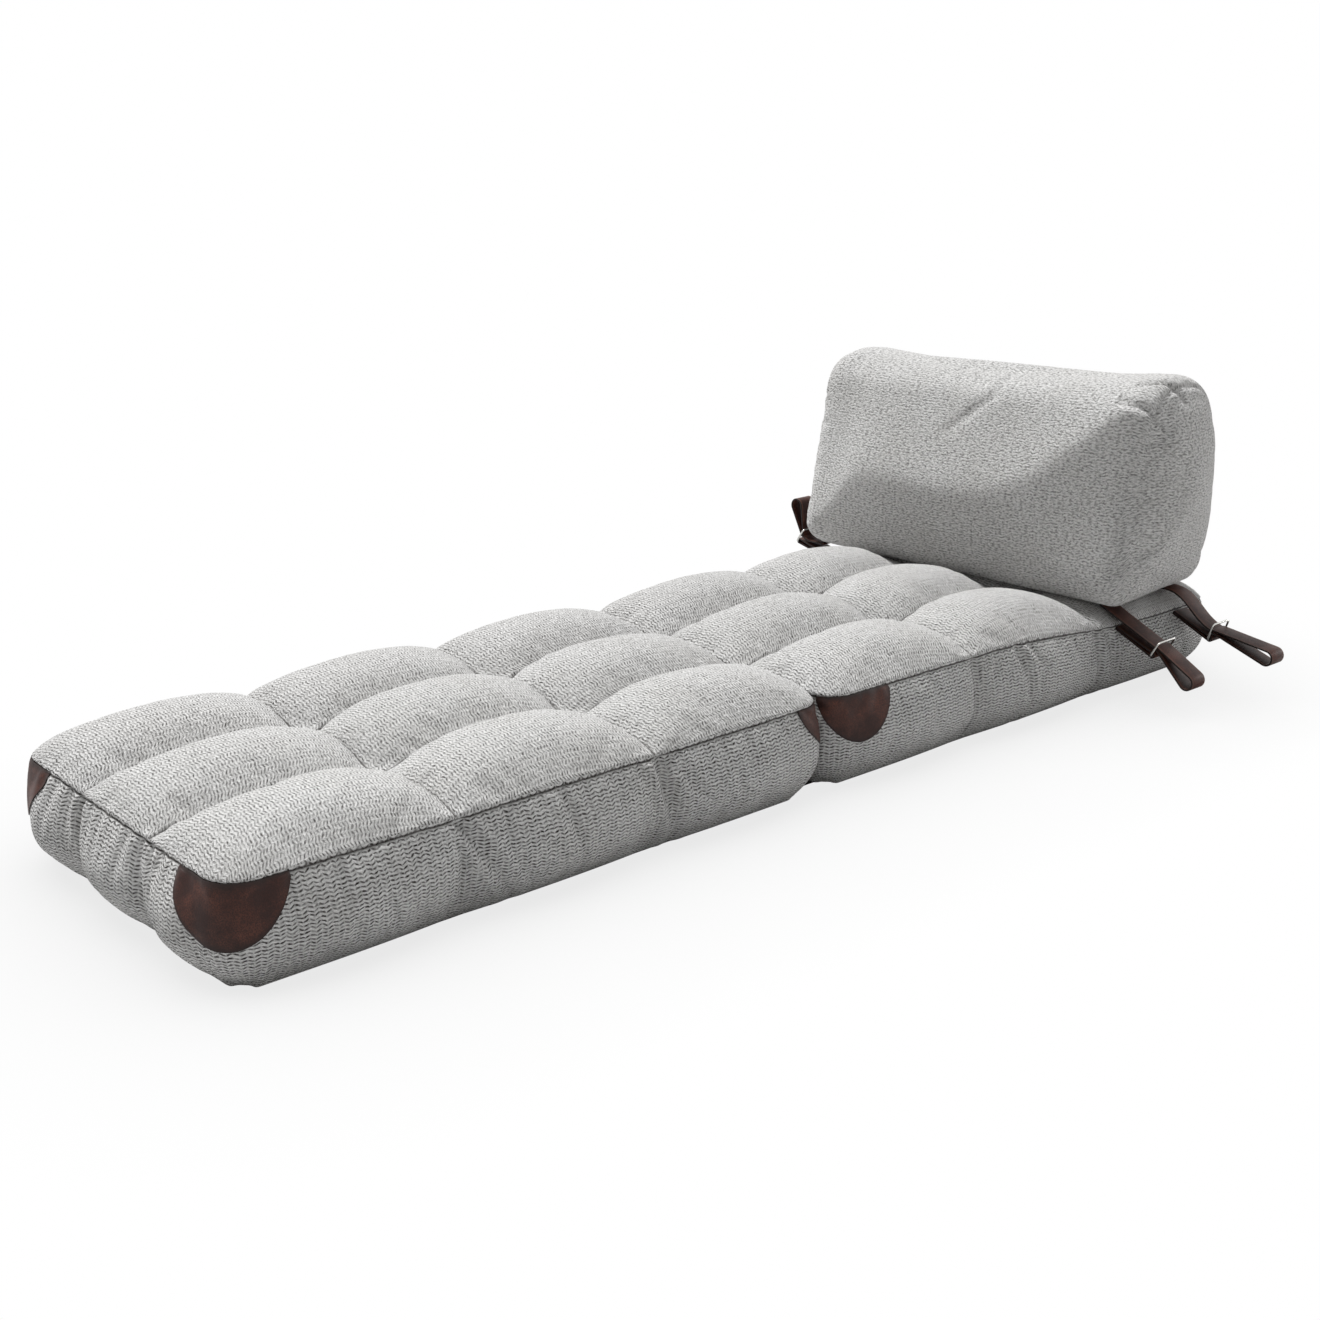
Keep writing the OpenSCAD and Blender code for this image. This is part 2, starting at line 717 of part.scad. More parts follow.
module bolster_strap(k) {
    path = bolster_path(k);
    upper = side_line(path, strap_t / 2);
    lower = side_line(path, -strap_t / 2);
    outline = concat(upper, [for (i = [len(lower) - 1:-1:0]) lower[i]]);
    color(leather) at_strap(k)
        translate([0, 0, -strap_w / 2]) linear_extrude(strap_w) polygon(outline);
}

on_head() cushion_cover(true);  // head_cover
on_head() cushion_foam();  // head_foam
on_head() cushion_ties();  // head_ties
on_head() base_cloth();  // head_base_cloth
on_head() hinge_leaf();  // head_hinge_leaf
on_head() corner_patch(head_patch_middle, head_patch_half, fold_patch_drop, patch_gap, true, true);  // head_corner_right
on_head() on_left() corner_patch(head_patch_middle, head_patch_half, fold_patch_drop, patch_gap, true, true);  // head_corner_left
on_foot() cushion_cover(false);  // foot_cover
on_foot() cushion_foam();  // foot_foam
on_foot() cushion_ties();  // foot_ties
on_foot() base_cloth();  // foot_base_cloth
on_foot() hinge_leaf();  // foot_hinge_leaf
on_foot() corner_patch(foot_patch_middle, patch_half, patch_drop, patch_gap, false, false);  // foot_corner_right
on_foot() on_left() corner_patch(foot_patch_middle, patch_half, patch_drop, patch_gap, false, false);  // foot_corner_left
on_foot() corner_patch(fold_patch_middle, fold_patch_half, fold_patch_drop, fold_patch_gap, true, false);  // foot_fold_corner_right
on_foot() on_left() corner_patch(fold_patch_middle, fold_patch_half, fold_patch_drop, fold_patch_gap, true, false);  // foot_fold_corner_left
bolster_cover();
bolster_foam();
anchor_strap(0);  // anchor_strap_right_front
anchor_strap(1);  // anchor_strap_right_rear
anchor_strap(2);  // anchor_strap_left_front
anchor_strap(3);  // anchor_strap_left_rear
ring(0);  // ring_right_front
ring(1);  // ring_right_rear
ring(2);  // ring_left_front
ring(3);  // ring_left_rear
bolster_strap(0);  // bolster_strap_right_front
bolster_strap(1);  // bolster_strap_right_rear
bolster_strap(2);  // bolster_strap_left_front
bolster_strap(3);  // bolster_strap_left_rear
pull_loop(0);  // pull_loop_right_front
pull_loop(1);  // pull_loop_right_rear
pull_loop(2);  // pull_loop_left_front
pull_loop(3);  // pull_loop_left_rear
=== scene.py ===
"""Chair bed: two tufted cushions hinged end to end, with a bolster strapped on the head cushion."""
import json
import math
import random

import bpy
import numpy as np
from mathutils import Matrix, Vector, noise
from mathutils.bvhtree import BVHTree


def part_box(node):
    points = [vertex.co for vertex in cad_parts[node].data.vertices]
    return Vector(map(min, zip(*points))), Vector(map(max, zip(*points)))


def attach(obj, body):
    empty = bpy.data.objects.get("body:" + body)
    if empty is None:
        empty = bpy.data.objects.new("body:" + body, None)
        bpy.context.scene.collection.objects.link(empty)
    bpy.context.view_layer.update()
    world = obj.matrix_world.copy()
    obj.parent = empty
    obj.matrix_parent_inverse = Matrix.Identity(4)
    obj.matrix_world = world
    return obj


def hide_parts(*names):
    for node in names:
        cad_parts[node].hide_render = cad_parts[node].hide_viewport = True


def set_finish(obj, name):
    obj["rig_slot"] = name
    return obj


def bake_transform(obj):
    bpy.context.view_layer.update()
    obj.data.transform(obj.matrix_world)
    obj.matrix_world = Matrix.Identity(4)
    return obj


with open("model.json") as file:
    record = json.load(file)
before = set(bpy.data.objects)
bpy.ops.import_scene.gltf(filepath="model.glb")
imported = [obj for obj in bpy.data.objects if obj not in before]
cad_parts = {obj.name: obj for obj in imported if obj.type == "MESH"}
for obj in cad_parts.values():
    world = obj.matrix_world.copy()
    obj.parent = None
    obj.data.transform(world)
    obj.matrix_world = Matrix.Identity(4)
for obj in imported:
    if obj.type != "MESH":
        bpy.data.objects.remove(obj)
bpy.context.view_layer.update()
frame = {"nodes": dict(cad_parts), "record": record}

# Sizes, in metres, as the solids have them
CUSHION_W = 0.600
CUSHION_LEN = 1.028
SEAM_H = 0.163
SIDE_BULGE = 0.026
BASE_IN = 0.026
CORNER_R = 0.050
CHANNEL_RISE = 0.018
PILLOW_H = 0.038
TUFT_DEPTH = 0.020
TUFT_REACH = 0.045
PINCH = 0.006
CORNER_TUCK = 0.5
BASE_T = 0.002
FOLD_GAP = 0.005
SEAM_SINK = 0.030
REST_H = 0.170
BOLSTER_D = 0.306
BOLSTER_Y = 0.300
BOLSTER_TURN = math.radians(6)
BOLSTER_W = 0.730
BOLSTER_H = 0.384
BOLSTER_SHIFT = 0.045
BOLSTER_Z = 0.1703
BELLY = 0.024
TOP_SLOPE = 0.012
TOP_SAG = 0.005
END_ROUND = 0.050
END_SHRINK = 0.2
END_DOMES = {-1: 0.014, 1: 0.046}
# The bolster's profile: place of each corner, forward to back and up, and its radius
PROFILE = ((-0.153, 0, 0.034), (0.153, 0, 0.036), (0.149, BOLSTER_H, 0.112), (-0.077, BOLSTER_H, 0.062))
PATCH_POINT = 0.85
STRAP_W = 0.038
STRAP_T = 0.0035
NOSE_R = 0.0039
LOOP_TIP_R = 0.0115
EYE_R = 0.0023
RING_BAR = 0.016
# Straps: side, place along the bed, ring's place out and up, ring's tilt, loop's angle and length
STRAPS = {
    "right_front": (1, 0.2360958, 0.391, 0.114, -30, -36, 0.094),
    "right_rear": (1, 0.4070958, 0.391, 0.111, -18, -12, 0.128),
    "left_front": (-1, 0.1519073, 0.410, 0.176, 34, 72, 0.076),
    "left_rear": (-1, 0.3229073, 0.410, 0.111, -24, -34, 0.094),
}

HALF_W = CUSHION_W / 2
FOLD_Y = -CUSHION_LEN / 2
PILLOWS = 3


def linear(code):
    """An sRGB hex colour as the linear colour that a shader takes."""
    parts = [int(code[k:k + 2], 16) / 255 for k in (1, 3, 5)]
    return (*[c / 12.92 if c <= 0.04045 else ((c + 0.055) / 1.055) ** 2.4 for c in parts], 1)


def add_node(tree, kind, inputs=None, **settings):
    """Adds a node with its settings; inputs gives a socket a value or another node's output."""
    made = tree.nodes.new(kind)
    for name, value in settings.items():
        setattr(made, name, value)
    for socket, value in (inputs or {}).items():
        if isinstance(value, bpy.types.NodeSocket):
            tree.links.new(value, made.inputs[socket])
        else:
            made.inputs[socket].default_value = value
    return made


def set_active(piece):
    """Makes a piece the only one selected, and the active one."""
    bpy.ops.object.select_all(action="DESELECT")
    piece.select_set(True)
    bpy.context.view_layer.objects.active = piece


def apply_modifier(piece, kind, **settings):
    """Adds a modifier to a piece, sets it and applies it."""
    made = piece.modifiers.new(kind.lower(), kind)
    for name, value in settings.items():
        setattr(made, name, value)
    set_active(piece)
    bpy.ops.object.modifier_apply(modifier=made.name)


def get_places(piece):
    """A mesh's points as an array."""
    places = np.empty(len(piece.data.vertices) * 3)
    piece.data.vertices.foreach_get("co", places)
    return places.reshape(-1, 3)


def set_places(piece, places):
    piece.data.vertices.foreach_set("co", np.ascontiguousarray(places, dtype=np.float32).ravel())
    piece.data.update()


def point_normals(piece):
    normals = np.empty(len(piece.data.vertices) * 3)
    piece.data.vertex_normals.foreach_get("vector", normals)
    return normals.reshape(-1, 3)


def keep_value(piece, name, values):
    """Stores one number for each point of a mesh."""
    made = piece.data.attributes.get(name) or piece.data.attributes.new(name, "FLOAT", "POINT")
    made.data.foreach_set("value", np.asarray(values, dtype=np.float32))


def kept_value(piece, name):
    values = np.empty(len(piece.data.vertices))
    piece.data.attributes[name].data.foreach_get("value", values)
    return values


def counted_grid(name, nx, ny):
    """A flat grid, one unit to a step, whose points a formula then puts in their places."""
    bpy.ops.object.select_all(action="DESELECT")
    bpy.ops.mesh.primitive_grid_add(x_subdivisions=nx, y_subdivisions=ny, size=1)
    piece = bpy.context.object
    piece.name = piece.data.name = name
    piece.scale = (nx, ny, 1)
    bpy.ops.object.transform_apply(scale=True)
    return piece


def counts(piece, nx, ny):
    """How many steps each point lies across, along and down."""
    steps = get_places(piece)
    return (np.rint(steps[:, 0] + nx / 2).astype(int), np.rint(steps[:, 1] + ny / 2).astype(int),
            np.rint(-steps[:, 2]).astype(int))


def close_up(piece, merge=1e-6):
    """Merges a mesh's doubles and turns its faces outwards."""
    set_active(piece)
    bpy.ops.object.mode_set(mode="EDIT")
    bpy.ops.mesh.select_mode(type="VERT")
    bpy.ops.mesh.select_all(action="SELECT")
    bpy.ops.mesh.remove_doubles(threshold=merge)
    bpy.ops.mesh.normals_make_consistent(inside=False)
    bpy.ops.object.mode_set(mode="OBJECT")


def copy_of(node, name):
    """A copy of a solid's mesh as a piece of its own, its loose triangles joined."""
    part = frame["nodes"][node]
    piece = bpy.data.objects.new(name, part.data.copy())
    piece.data.name = name
    bpy.context.scene.collection.objects.link(piece)
    piece.data.transform(part.matrix_world)
    piece.data.materials.clear()
    close_up(piece, 1e-5)
    return piece


def stands_for(piece, node, body, slot):
    """Says which solid a piece replaces, what it moves with and its finish."""
    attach(piece, body)
    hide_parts(node)
    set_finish(piece, slot)


# ---- the tufted cushions ----

def swell(share, power=0.6):
    return np.clip(4 * share * (1 - share), 0, None) ** power


def within(share):
    return share * PILLOWS - np.minimum(PILLOWS - 1, np.floor(share * PILLOWS + 1e-6))


def pillow_wave(share):
    return np.abs(np.sin(math.pi * PILLOWS * share))


def drawn(share):
    between = (share > 0.5 / PILLOWS) & (share < 1 - 0.5 / PILLOWS)
    return np.where(between, 1 - np.sqrt(pillow_wave(share)), 0)


def ease(share):
    c = np.clip(share, 0, 1)
    return c * c * (3 - 2 * c)


def seam_height(p, pressed):
    sunk = SEAM_SINK * ease((p / CUSHION_LEN - 0.35) / 0.49)
    return SEAM_H - (sunk if pressed else 0)


def press_cap(x, p):
    """The height that the bolster leaves to the cushion under it."""
    y = FOLD_Y + p
    front = (y - BOLSTER_Y) * math.cos(BOLSTER_TURN) - x * math.sin(BOLSTER_TURN)
    ahead = -BOLSTER_D / 2 - 0.016 - front
    edge = np.clip((np.abs(x) - (HALF_W - 0.090)) / 0.090, 0, None)
    return REST_H + 1.2 * np.clip(ahead, 0, None) - 0.030 * edge * edge


def tuft_pull(x, p):
    dx = np.abs(x) - CUSHION_W / PILLOWS / 2
    dp = np.abs(p - CUSHION_LEN / 2) - CUSHION_LEN / PILLOWS / 2
    return np.exp(-(dx * dx + dp * dp) / (2 * TUFT_REACH ** 2))


def top_height(x, p, pressed):
    u = x / CUSHION_W + 0.5
    v = p / CUSHION_LEN
    inner = swell(u, 0.5) * swell(v, 0.5)
    dip = drawn(v) * (1 - swell(u, 0.5)) + drawn(u) * (1 - swell(v, 0.5))
    pillow = swell(within(u)) * swell(within(v))
    free = (seam_height(p, pressed) + CHANNEL_RISE * inner + PILLOW_H * pillow
            - TUFT_DEPTH * tuft_pull(x, p) - PINCH * dip)
    return np.minimum(free, press_cap(x, p)) if pressed else free


def beyond_corner(x, p):
    """How far a place lies past the start of the corners, across and along."""
    return (np.abs(x) - (HALF_W - CORNER_R),
            np.abs(p - CUSHION_LEN / 2) - (CUSHION_LEN / 2 - CORNER_R))


def round_corner(x, p):
    ex, ep = beyond_corner(x, p)
    inside = (ex > 0) & (ep > 0)
    reach = np.maximum(ex, ep)
    with np.errstate(divide="ignore", invalid="ignore"):
        turn = np.where(ex >= ep, ep / ex, 2 - ex / ep) * math.pi / 4
    turn = np.where(inside, turn, 0)
    rx = np.sign(x) * (HALF_W - CORNER_R + reach * np.cos(turn))
    rp = CUSHION_LEN / 2 + np.sign(p - CUSHION_LEN / 2) * (CUSHION_LEN / 2 - CORNER_R + reach * np.sin(turn))
    return np.where(inside, rx, x), np.where(inside, rp, p)


def past_corner(d, size):
    half_pillow = size / PILLOWS / 2
    near = np.minimum(d, size - d)
    slow = np.clip(near - CORNER_R, 0, None) * half_pillow / (half_pillow - CORNER_R)
    return np.where(near > half_pillow, d, slow) / size


def wall_direction(x, p):
    """Outward direction of the wall and the share of the wall that its swelling follows."""
    ex, ep = beyond_corner(x, p)
    corner = (ex > 1e-5) & (ep > 1e-5)
    end = ~corner & ((ep > 1e-5) | (ex <= 1e-5))
    length = np.hypot(ex, ep)
    length[length == 0] = 1
    out_x = np.where(corner, np.sign(x) * ex / length, np.where(end, 0, np.sign(x)))
    away = np.sign(p - CUSHION_LEN / 2)
    out_p = np.where(corner, away * ep / length, np.where(end, away, 0))
    share = np.where(end, past_corner(x + HALF_W, CUSHION_W), past_corner(p, CUSHION_LEN))
    return out_x, out_p, np.where(corner, 0, share)


def wall_swell(f, out_x, out_p, share):
    """How far a wall stands out from its edge seam, a share f of the way down."""
    return (SIDE_BULGE * np.sin(math.pi * f) * (0.3 + 0.7 * pillow_wave(share)) - PINCH * drawn(share)
            - BASE_IN * (1 + CORNER_TUCK * 2 * np.abs(out_x * out_p)) * np.clip((f - 0.55) / 0.45, 0, None) ** 2)


def seam_marks(size):
    """Places across a panel: close together beside each seam, and even between."""
    near = (0, 0.0035, 0.008)
    pillow = size / PILLOWS
    steps = round((pillow - 0.028) / 0.0074)
    one = [*near, *np.linspace(0.014, pillow - 0.014, steps + 1), pillow - 0.008, pillow - 0.0035]
    return np.array([k * pillow + m for k in range(PILLOWS) for m in one] + [size])


ACROSS = seam_marks(CUSHION_W) - HALF_W
ALONG = seam_marks(CUSHION_LEN)
# Wall rings as shares of the drop, close together under the edge seam
WALL_RINGS = [0, 0.016, 0.04, 0.075, *np.linspace(0.12, 0.90, 17), 0.945, 0.975, 1]


# Folds that hang from the channels' ends on the long walls: place from the fold, lean, depth, width, length
WALL_FOLDS = {
    "foot_cushion": ((0.686, -0.60, 0.0110, 0.010, 0.11), (0.705, -0.45, 0.0035, 0.007, 0.06),
                     (0.343, -0.27, 0.0120, 0.010, 0.13), (0.336, -0.90, 0.0085, 0.008, 0.09),
                     (0.316, -0.75, 0.0045, 0.007, 0.06), (0.520, -0.20, 0.0025, 0.010, 0.08)),
    "head_cushion": ((0.343, 0.30, 0.0045, 0.008, 0.05), (0.452, 0.18, 0.0090, 0.009, 0.11),
                     (0.478, 0.70, 0.0055, 0.008, 0.05), (0.600, 0.30, 0.0035, 0.008, 0.06),
                     (0.676, 0.10, 0.0080, 0.009, 0.11), (0.706, 0.25, 0.0055, 0.009, 0.10)),
}
# Gathers under the seam of the outer end walls: place across, lean, depth, width, length
END_FOLDS = (
    (-0.205, 0.25, 0.0040, 0.008, 0.05), (-0.168, -0.20, 0.0055, 0.008, 0.06), (-0.132, 0.10, 0.0065, 0.008, 0.07),
    (-0.098, 0.15, 0.0080, 0.009, 0.10), (-0.064, 0.30, 0.0060, 0.008, 0.07), (-0.028, 0.15, 0.0040, 0.008, 0.05),
    (0.052, -0.20, 0.0050, 0.008, 0.06), (0.084, 0.10, 0.0065, 0.008, 0.08), (0.110, 0.30, 0.0085, 0.009, 0.10),
    (0.148, -0.10, 0.0055, 0.008, 0.06), (0.190, 0.20, 0.0035, 0.008, 0.04),
)
# Folds on the tops: from and to, as places across and along, then depth and width
TOP_FOLDS = {
    "foot_cushion": ((0.125, 0.320, 0.190, 0.215, 0.0022, 0.007), (0.135, 0.328, 0.225, 0.245, 0.0024, 0.007),
                     (0.150, 0.335, 0.262, 0.285, 0.0026, 0.007), (0.165, 0.190, 0.262, 0.170, 0.0022, 0.008),
                     (0.160, 0.150, 0.270, 0.128, 0.0024, 0.008), (0.175, 0.225, 0.280, 0.218, 0.0020, 0.007),
                     (-0.210, 0.560, -0.120, 0.650, 0.0016, 0.008)),
    "head_cushion": ((0.130, 0.330, 0.215, 0.255, 0.0018, 0.008), (0.140, 0.360, 0.240, 0.430, 0.0018, 0.008)),
}


def dents(x, s, lines):
    """How deep a set of creases sinks the cloth at each place: a valley with a low ridge on both sides."""
    sunk = np.zeros(len(x))
    for x0, s0, x1, s1, depth, width in lines:
        dx, ds = x1 - x0, s1 - s0
        t = np.clip(((x - x0) * dx + (s - s0) * ds) / (dx * dx + ds * ds), 0, 1)
        far = np.hypot(x - x0 - t * dx, s - s0 - t * ds)
        dent = (far / width) ** 2
        sunk += depth * (np.exp(-dent) - 0.25 * np.exp(-dent / 6)) * (0.35 + 0.65 * np.sin(math.pi * (0.15 + 0.7 * t)))
    return sunk


def pleats(rng, count_each, reach):
    """Small puckers that gather along the edge seam: place on it, lean, depth, width, length."""
    made = []
    for k in range(count_each):
        made.append((rng.uniform(0, reach), rng.uniform(-0.5, 0.5), rng.uniform(0.0006, 0.0022),
                     rng.uniform(0.005, 0.010), rng.uniform(0.018, 0.045)))
    return made


def cushion(name, pressed, on_foot, seed):
    """A tufted cushion's cloth: a fine grid with walls drawn down from its edge."""
    nx, ny, rings = len(ACROSS) - 1, len(ALONG) - 1, len(WALL_RINGS) - 1
    piece = counted_grid(name, nx, ny)
    bpy.ops.object.mode_set(mode="EDIT")
    bpy.ops.mesh.select_mode(type="EDGE")
    for k in range(rings + 1):
        bpy.ops.mesh.select_all(action="DESELECT")
        bpy.ops.mesh.select_non_manifold()
        bpy.ops.mesh.extrude_region_move(TRANSFORM_OT_translate={"value": (0, 0, -1)})
    bpy.ops.object.mode_set(mode="OBJECT")
    i, j, k = counts(piece, nx, ny)
    x, p = ACROSS[i], ALONG[j]
    cx, cp = round_corner(x, p)
    out_x, out_p, share = wall_direction(x, p)
    edge = (i == 0) | (i == nx) | (j == 0) | (j == ny)
    # Perimeter place of each edge point, for the weave and the puckers
    loop = ([(a, 0) for a in range(nx)] + [(nx, b) for b in range(ny)]
            + [(a, ny) for a in range(nx, 0, -1)] + [(0, b) for b in range(ny, 0, -1)])
    order = {spot: n for n, spot in enumerate(loop)}
    lx, lp = round_corner(ACROSS[[a for a, _ in loop]], ALONG[[b for _, b in loop]])
    run = np.concatenate([[0], np.cumsum(np.hypot(np.diff(lx), np.diff(lp)))])
    total = run[-1] + math.hypot(lx[0] - lx[-1], lp[0] - lp[-1])
    at = np.array([run[order[(a, b)]] if e else 0 for a, b, e in zip(i, j, edge)])
    f = np.array([*WALL_RINGS, 1])[k]
    z_seam = seam_height(cp, pressed) - PINCH * drawn(share)
    drop = f * (z_seam - BASE_T)
    off = wall_swell(f, out_x, out_p, share)
    rng = random.Random(seed)
    for place, lean, depth, width, length in pleats(rng, 90, total):
        away = (at - place - lean * drop + total / 2) % total - total / 2
        off -= depth * np.exp(-(away / width) ** 2) * np.exp(-drop / length) * np.minimum(1, drop / 0.006)
    outer_end = np.abs(out_p) * (cp > CUSHION_LEN / 2)
    for folds, spot, facing in ((WALL_FOLDS[name], cp, np.abs(out_x)), (END_FOLDS, cx, outer_end)):
        for place, lean, depth, width, length in folds:
            away = (spot - place - lean * drop) / width
            crease = np.exp(-away ** 2) - 0.65 * np.exp(-(away - 1.9) ** 2) - 0.35 * np.exp(-(away + 2.1) ** 2)
            off -= depth * crease * facing * np.exp(-(drop / length) ** 2) * np.minimum(1, drop / 0.010)
    off = np.where(k > rings, off - 0.030, off)
    wall_x, wall_p = cx + out_x * off, np.clip(cp + out_p * off, 0, None)
    wall_z = z_seam + (BASE_T - z_seam) * f
    top_z = top_height(x, p, pressed) - dents(x, p, TOP_FOLDS[name]) * (x > -HALF_W) * (x < HALF_W)
    flat = (k == 0) & ~edge
    px, pp = np.where(flat, cx, wall_x), np.where(flat, cp, wall_p)
    pz = np.where(flat, top_z, wall_z)
    side = -1 if on_foot else 1
    set_places(piece, np.stack([px, FOLD_Y + side * (FOLD_GAP / 2 + pp), pz], axis=1))
    # The weave's own map: across and along over the pillows on the top, round and down on the walls
    humps = top_height(*np.meshgrid(ACROSS, ALONG, indexing="ij"), pressed)
    over = [np.concatenate([[0], np.cumsum(np.hypot(np.diff(ACROSS), np.diff(row)))]) for row in humps.T]
    over = np.array(over).T - np.array([row[nx // 2] for row in over])
    down = np.array([np.concatenate([[0], np.cumsum(np.hypot(np.diff(ALONG), np.diff(row)))]) for row in humps])
    down -= down[:, ny // 2:ny // 2 + 1]
    u_top, v_top = over[i, j], down[i, j]
    cloth = piece.data.uv_layers.new(name="weave")
    corner = np.empty(len(piece.data.loops), dtype=int)
    piece.data.loops.foreach_get("vertex_index", corner)
    uv = np.empty((len(corner), 2))
    for face in piece.data.polygons:
        own = slice(face.loop_start, face.loop_start + face.loop_total)
        ids = corner[own]
        if k[ids].max() == 0:
            uv[own, 0], uv[own, 1] = u_top[ids], v_top[ids]
        else:
            round_it = at[ids].copy()
            if np.ptp(round_it) > total / 2 and face.loop_total == 4:
                round_it[round_it < total / 2] += total
            uv[own, 0], uv[own, 1] = round_it, -drop[ids] - 1
    cloth.data.foreach_set("uv", uv.ravel())
    on_channel = (k == 0) & (np.isin(i, [nx // 3, 2 * nx // 3]) | np.isin(j, [ny // 3, 2 * ny // 3]))
    keep_value(piece, "channel", on_channel & ~edge)
    keep_value(piece, "edge_seam", edge & (k == 1))
    keep_value(piece, "lip", edge & (k == 0))
    # How strong the painted shade in the knit's gaps is: full on the walls, less on the top
    keep_value(piece, "shade_dash", np.where(edge, 1.0, 0.7))
    free = top_z < press_cap(x, p) - 0.002 if pressed else np.ones(len(x), bool)
    held = np.where(on_channel & ~edge, 1.0, 0.0)
    held = np.where(edge & (k <= 1), 0.9, held)
    held = np.where(~free & flat, 1.0, held)
    held = np.where(edge & (f > 0.93), 1.0, held)
    keep_value(piece, "held", held)
    set_active(piece)
    bpy.ops.object.mode_set(mode="EDIT")
    bpy.ops.mesh.select_all(action="SELECT")
    bpy.ops.mesh.normals_make_consistent(inside=False)
    bpy.ops.object.mode_set(mode="OBJECT")
    return piece


def inflate(piece, pressure, cap, stretch=0.0, frames=20):
    """Lets the cloth swell against its seams, and caps how far a point may move."""
    start = get_places(piece)
    group = piece.vertex_groups.new(name="held")
    held = kept_value(piece, "held")
    for weight in sorted(set(np.round(held, 2))):
        if weight > 0:
            group.add([int(v) for v in np.nonzero(np.round(held, 2) == weight)[0]], float(weight), "REPLACE")
    cloth = piece.modifiers.new("cloth", "CLOTH")
    cloth.settings.quality = 6
    cloth.settings.mass = 0.3
    cloth.settings.tension_stiffness = 12
    cloth.settings.compression_stiffness = 8
    cloth.settings.shear_stiffness = 5
    cloth.settings.bending_stiffness = 0.6
    cloth.settings.air_damping = 2
    cloth.settings.use_pressure = True
    cloth.settings.uniform_pressure_force = pressure
    cloth.settings.shrink_min = -stretch
    cloth.settings.effector_weights.gravity = 0
    cloth.settings.vertex_group_mass = "held"
    cloth.settings.pin_stiffness = 4
    cloth.point_cache.frame_start = 1
    cloth.point_cache.frame_end = frames
    for number in range(1, frames + 1):
        bpy.context.scene.frame_set(number)
    set_active(piece)
    bpy.ops.object.modifier_apply(modifier=cloth.name)
    bpy.context.scene.frame_set(1)
    moved = get_places(piece) - start
    far = np.linalg.norm(moved, axis=1)
    moved *= (cap * np.tanh(far / cap) / np.maximum(far, 1e-9))[:, None]
    set_places(piece, start + moved)
    piece.vertex_groups.clear()


def close_underside(piece):
    """Draws the open edge under a cushion to its middle."""
    set_active(piece)
    bpy.ops.object.mode_set(mode="EDIT")
    bpy.ops.mesh.select_mode(type="EDGE")
    bpy.ops.mesh.select_all(action="DESELECT")
    bpy.ops.mesh.select_non_manifold()
    bpy.ops.mesh.extrude_region_move()
    bpy.ops.mesh.merge(type="CENTER")
    bpy.ops.mesh.select_all(action="SELECT")
    bpy.ops.mesh.normals_make_consistent(inside=False)
    bpy.ops.object.mode_set(mode="OBJECT")


def finish_cushion(piece, on_foot):
    """Subdivides the swollen cloth, then presses the seams into it."""
    places = get_places(piece)
    limit = FOLD_Y + (-1 if on_foot else 1) * FOLD_GAP / 2
    places[:, 1] = np.minimum(places[:, 1], limit) if on_foot else np.maximum(places[:, 1], limit)
    places[:, 2] = np.maximum(places[:, 2], BASE_T)
    set_places(piece, places)
    apply_modifier(piece, "SUBSURF", levels=1, render_levels=1)
    close_underside(piece)
    channel, edge_seam, lip = (kept_value(piece, n) for n in ("channel", "edge_seam", "lip"))
    places, normals = get_places(piece), point_normals(piece)
    push = -0.0022 * channel - 0.0020 * edge_seam + 0.0012 * lip
    set_places(piece, places + normals * push[:, None])
    bpy.ops.object.shade_smooth()


def make_cushion(name, node, body, pressed, on_foot, seed):
    piece = cushion(name, pressed, on_foot, seed)
    inflate(piece, pressure=4, cap=0.009, stretch=0.03)
    finish_cushion(piece, on_foot)
    stands_for(piece, node, body, "boucle_cloth")
    return piece


foot_cushion = make_cushion("foot_cushion", "foot_cover", "foot", pressed=False, on_foot=True, seed=11)
head_cushion = make_cushion("head_cushion", "head_cover", "head", pressed=True, on_foot=False, seed=12)

# ---- the bolster ----

# Steps of each corner and of the side after it, starting at the front bottom corner
ARC_STEPS = (9, 9, 22, 12)
SIDE_STEPS = (30, 30, 8, 38)
SIDE_SWELL = (0, BELLY, BELLY * 0.6, BELLY)
BOLSTER_MID = np.array([BOLSTER_D * 0.04, BOLSTER_H * 0.53])


def corner_arc(k):
    here, before, after = (np.array(PROFILE[n % 4][:2]) for n in (k, k + 3, k + 1))
    radius = PROFILE[k][2]
    a, b = (before - here) / np.linalg.norm(before - here), (after - here) / np.linalg.norm(after - here)
    opening = math.acos(a @ b)
    middle = here + (a + b) / np.linalg.norm(a + b) * radius / math.sin(opening / 2)
    turn = math.atan2(a[0], -a[1]) + (math.pi - opening) * np.linspace(0, 1, ARC_STEPS[k] + 1)
    return middle + radius * np.stack([np.cos(turn), np.sin(turn)], axis=1)


def bolster_profile():
    """Points round the bolster's profile and how far each swells, from under its middle."""
    arcs = [corner_arc(k) for k in range(4)]
    points, swells = [], []
    for k in range(4):
        points += list(arcs[k])
        swells += [(0, 0)] * len(arcs[k])
        start, stop = arcs[k][-1], arcs[(k + 1) % 4][0]
        along = (stop - start) / np.linalg.norm(stop - start)
        for t in np.arange(1, SIDE_STEPS[k]) / SIDE_STEPS[k]:
            points.append(start + (stop - start) * t)
            swells.append(np.array([along[1], -along[0]]) * SIDE_SWELL[k] * math.sin(math.pi * t))
    first = ARC_STEPS[0] + 1 + SIDE_STEPS[0] // 2
    return np.roll(points, -first, axis=0), np.roll(swells, -first, axis=0)


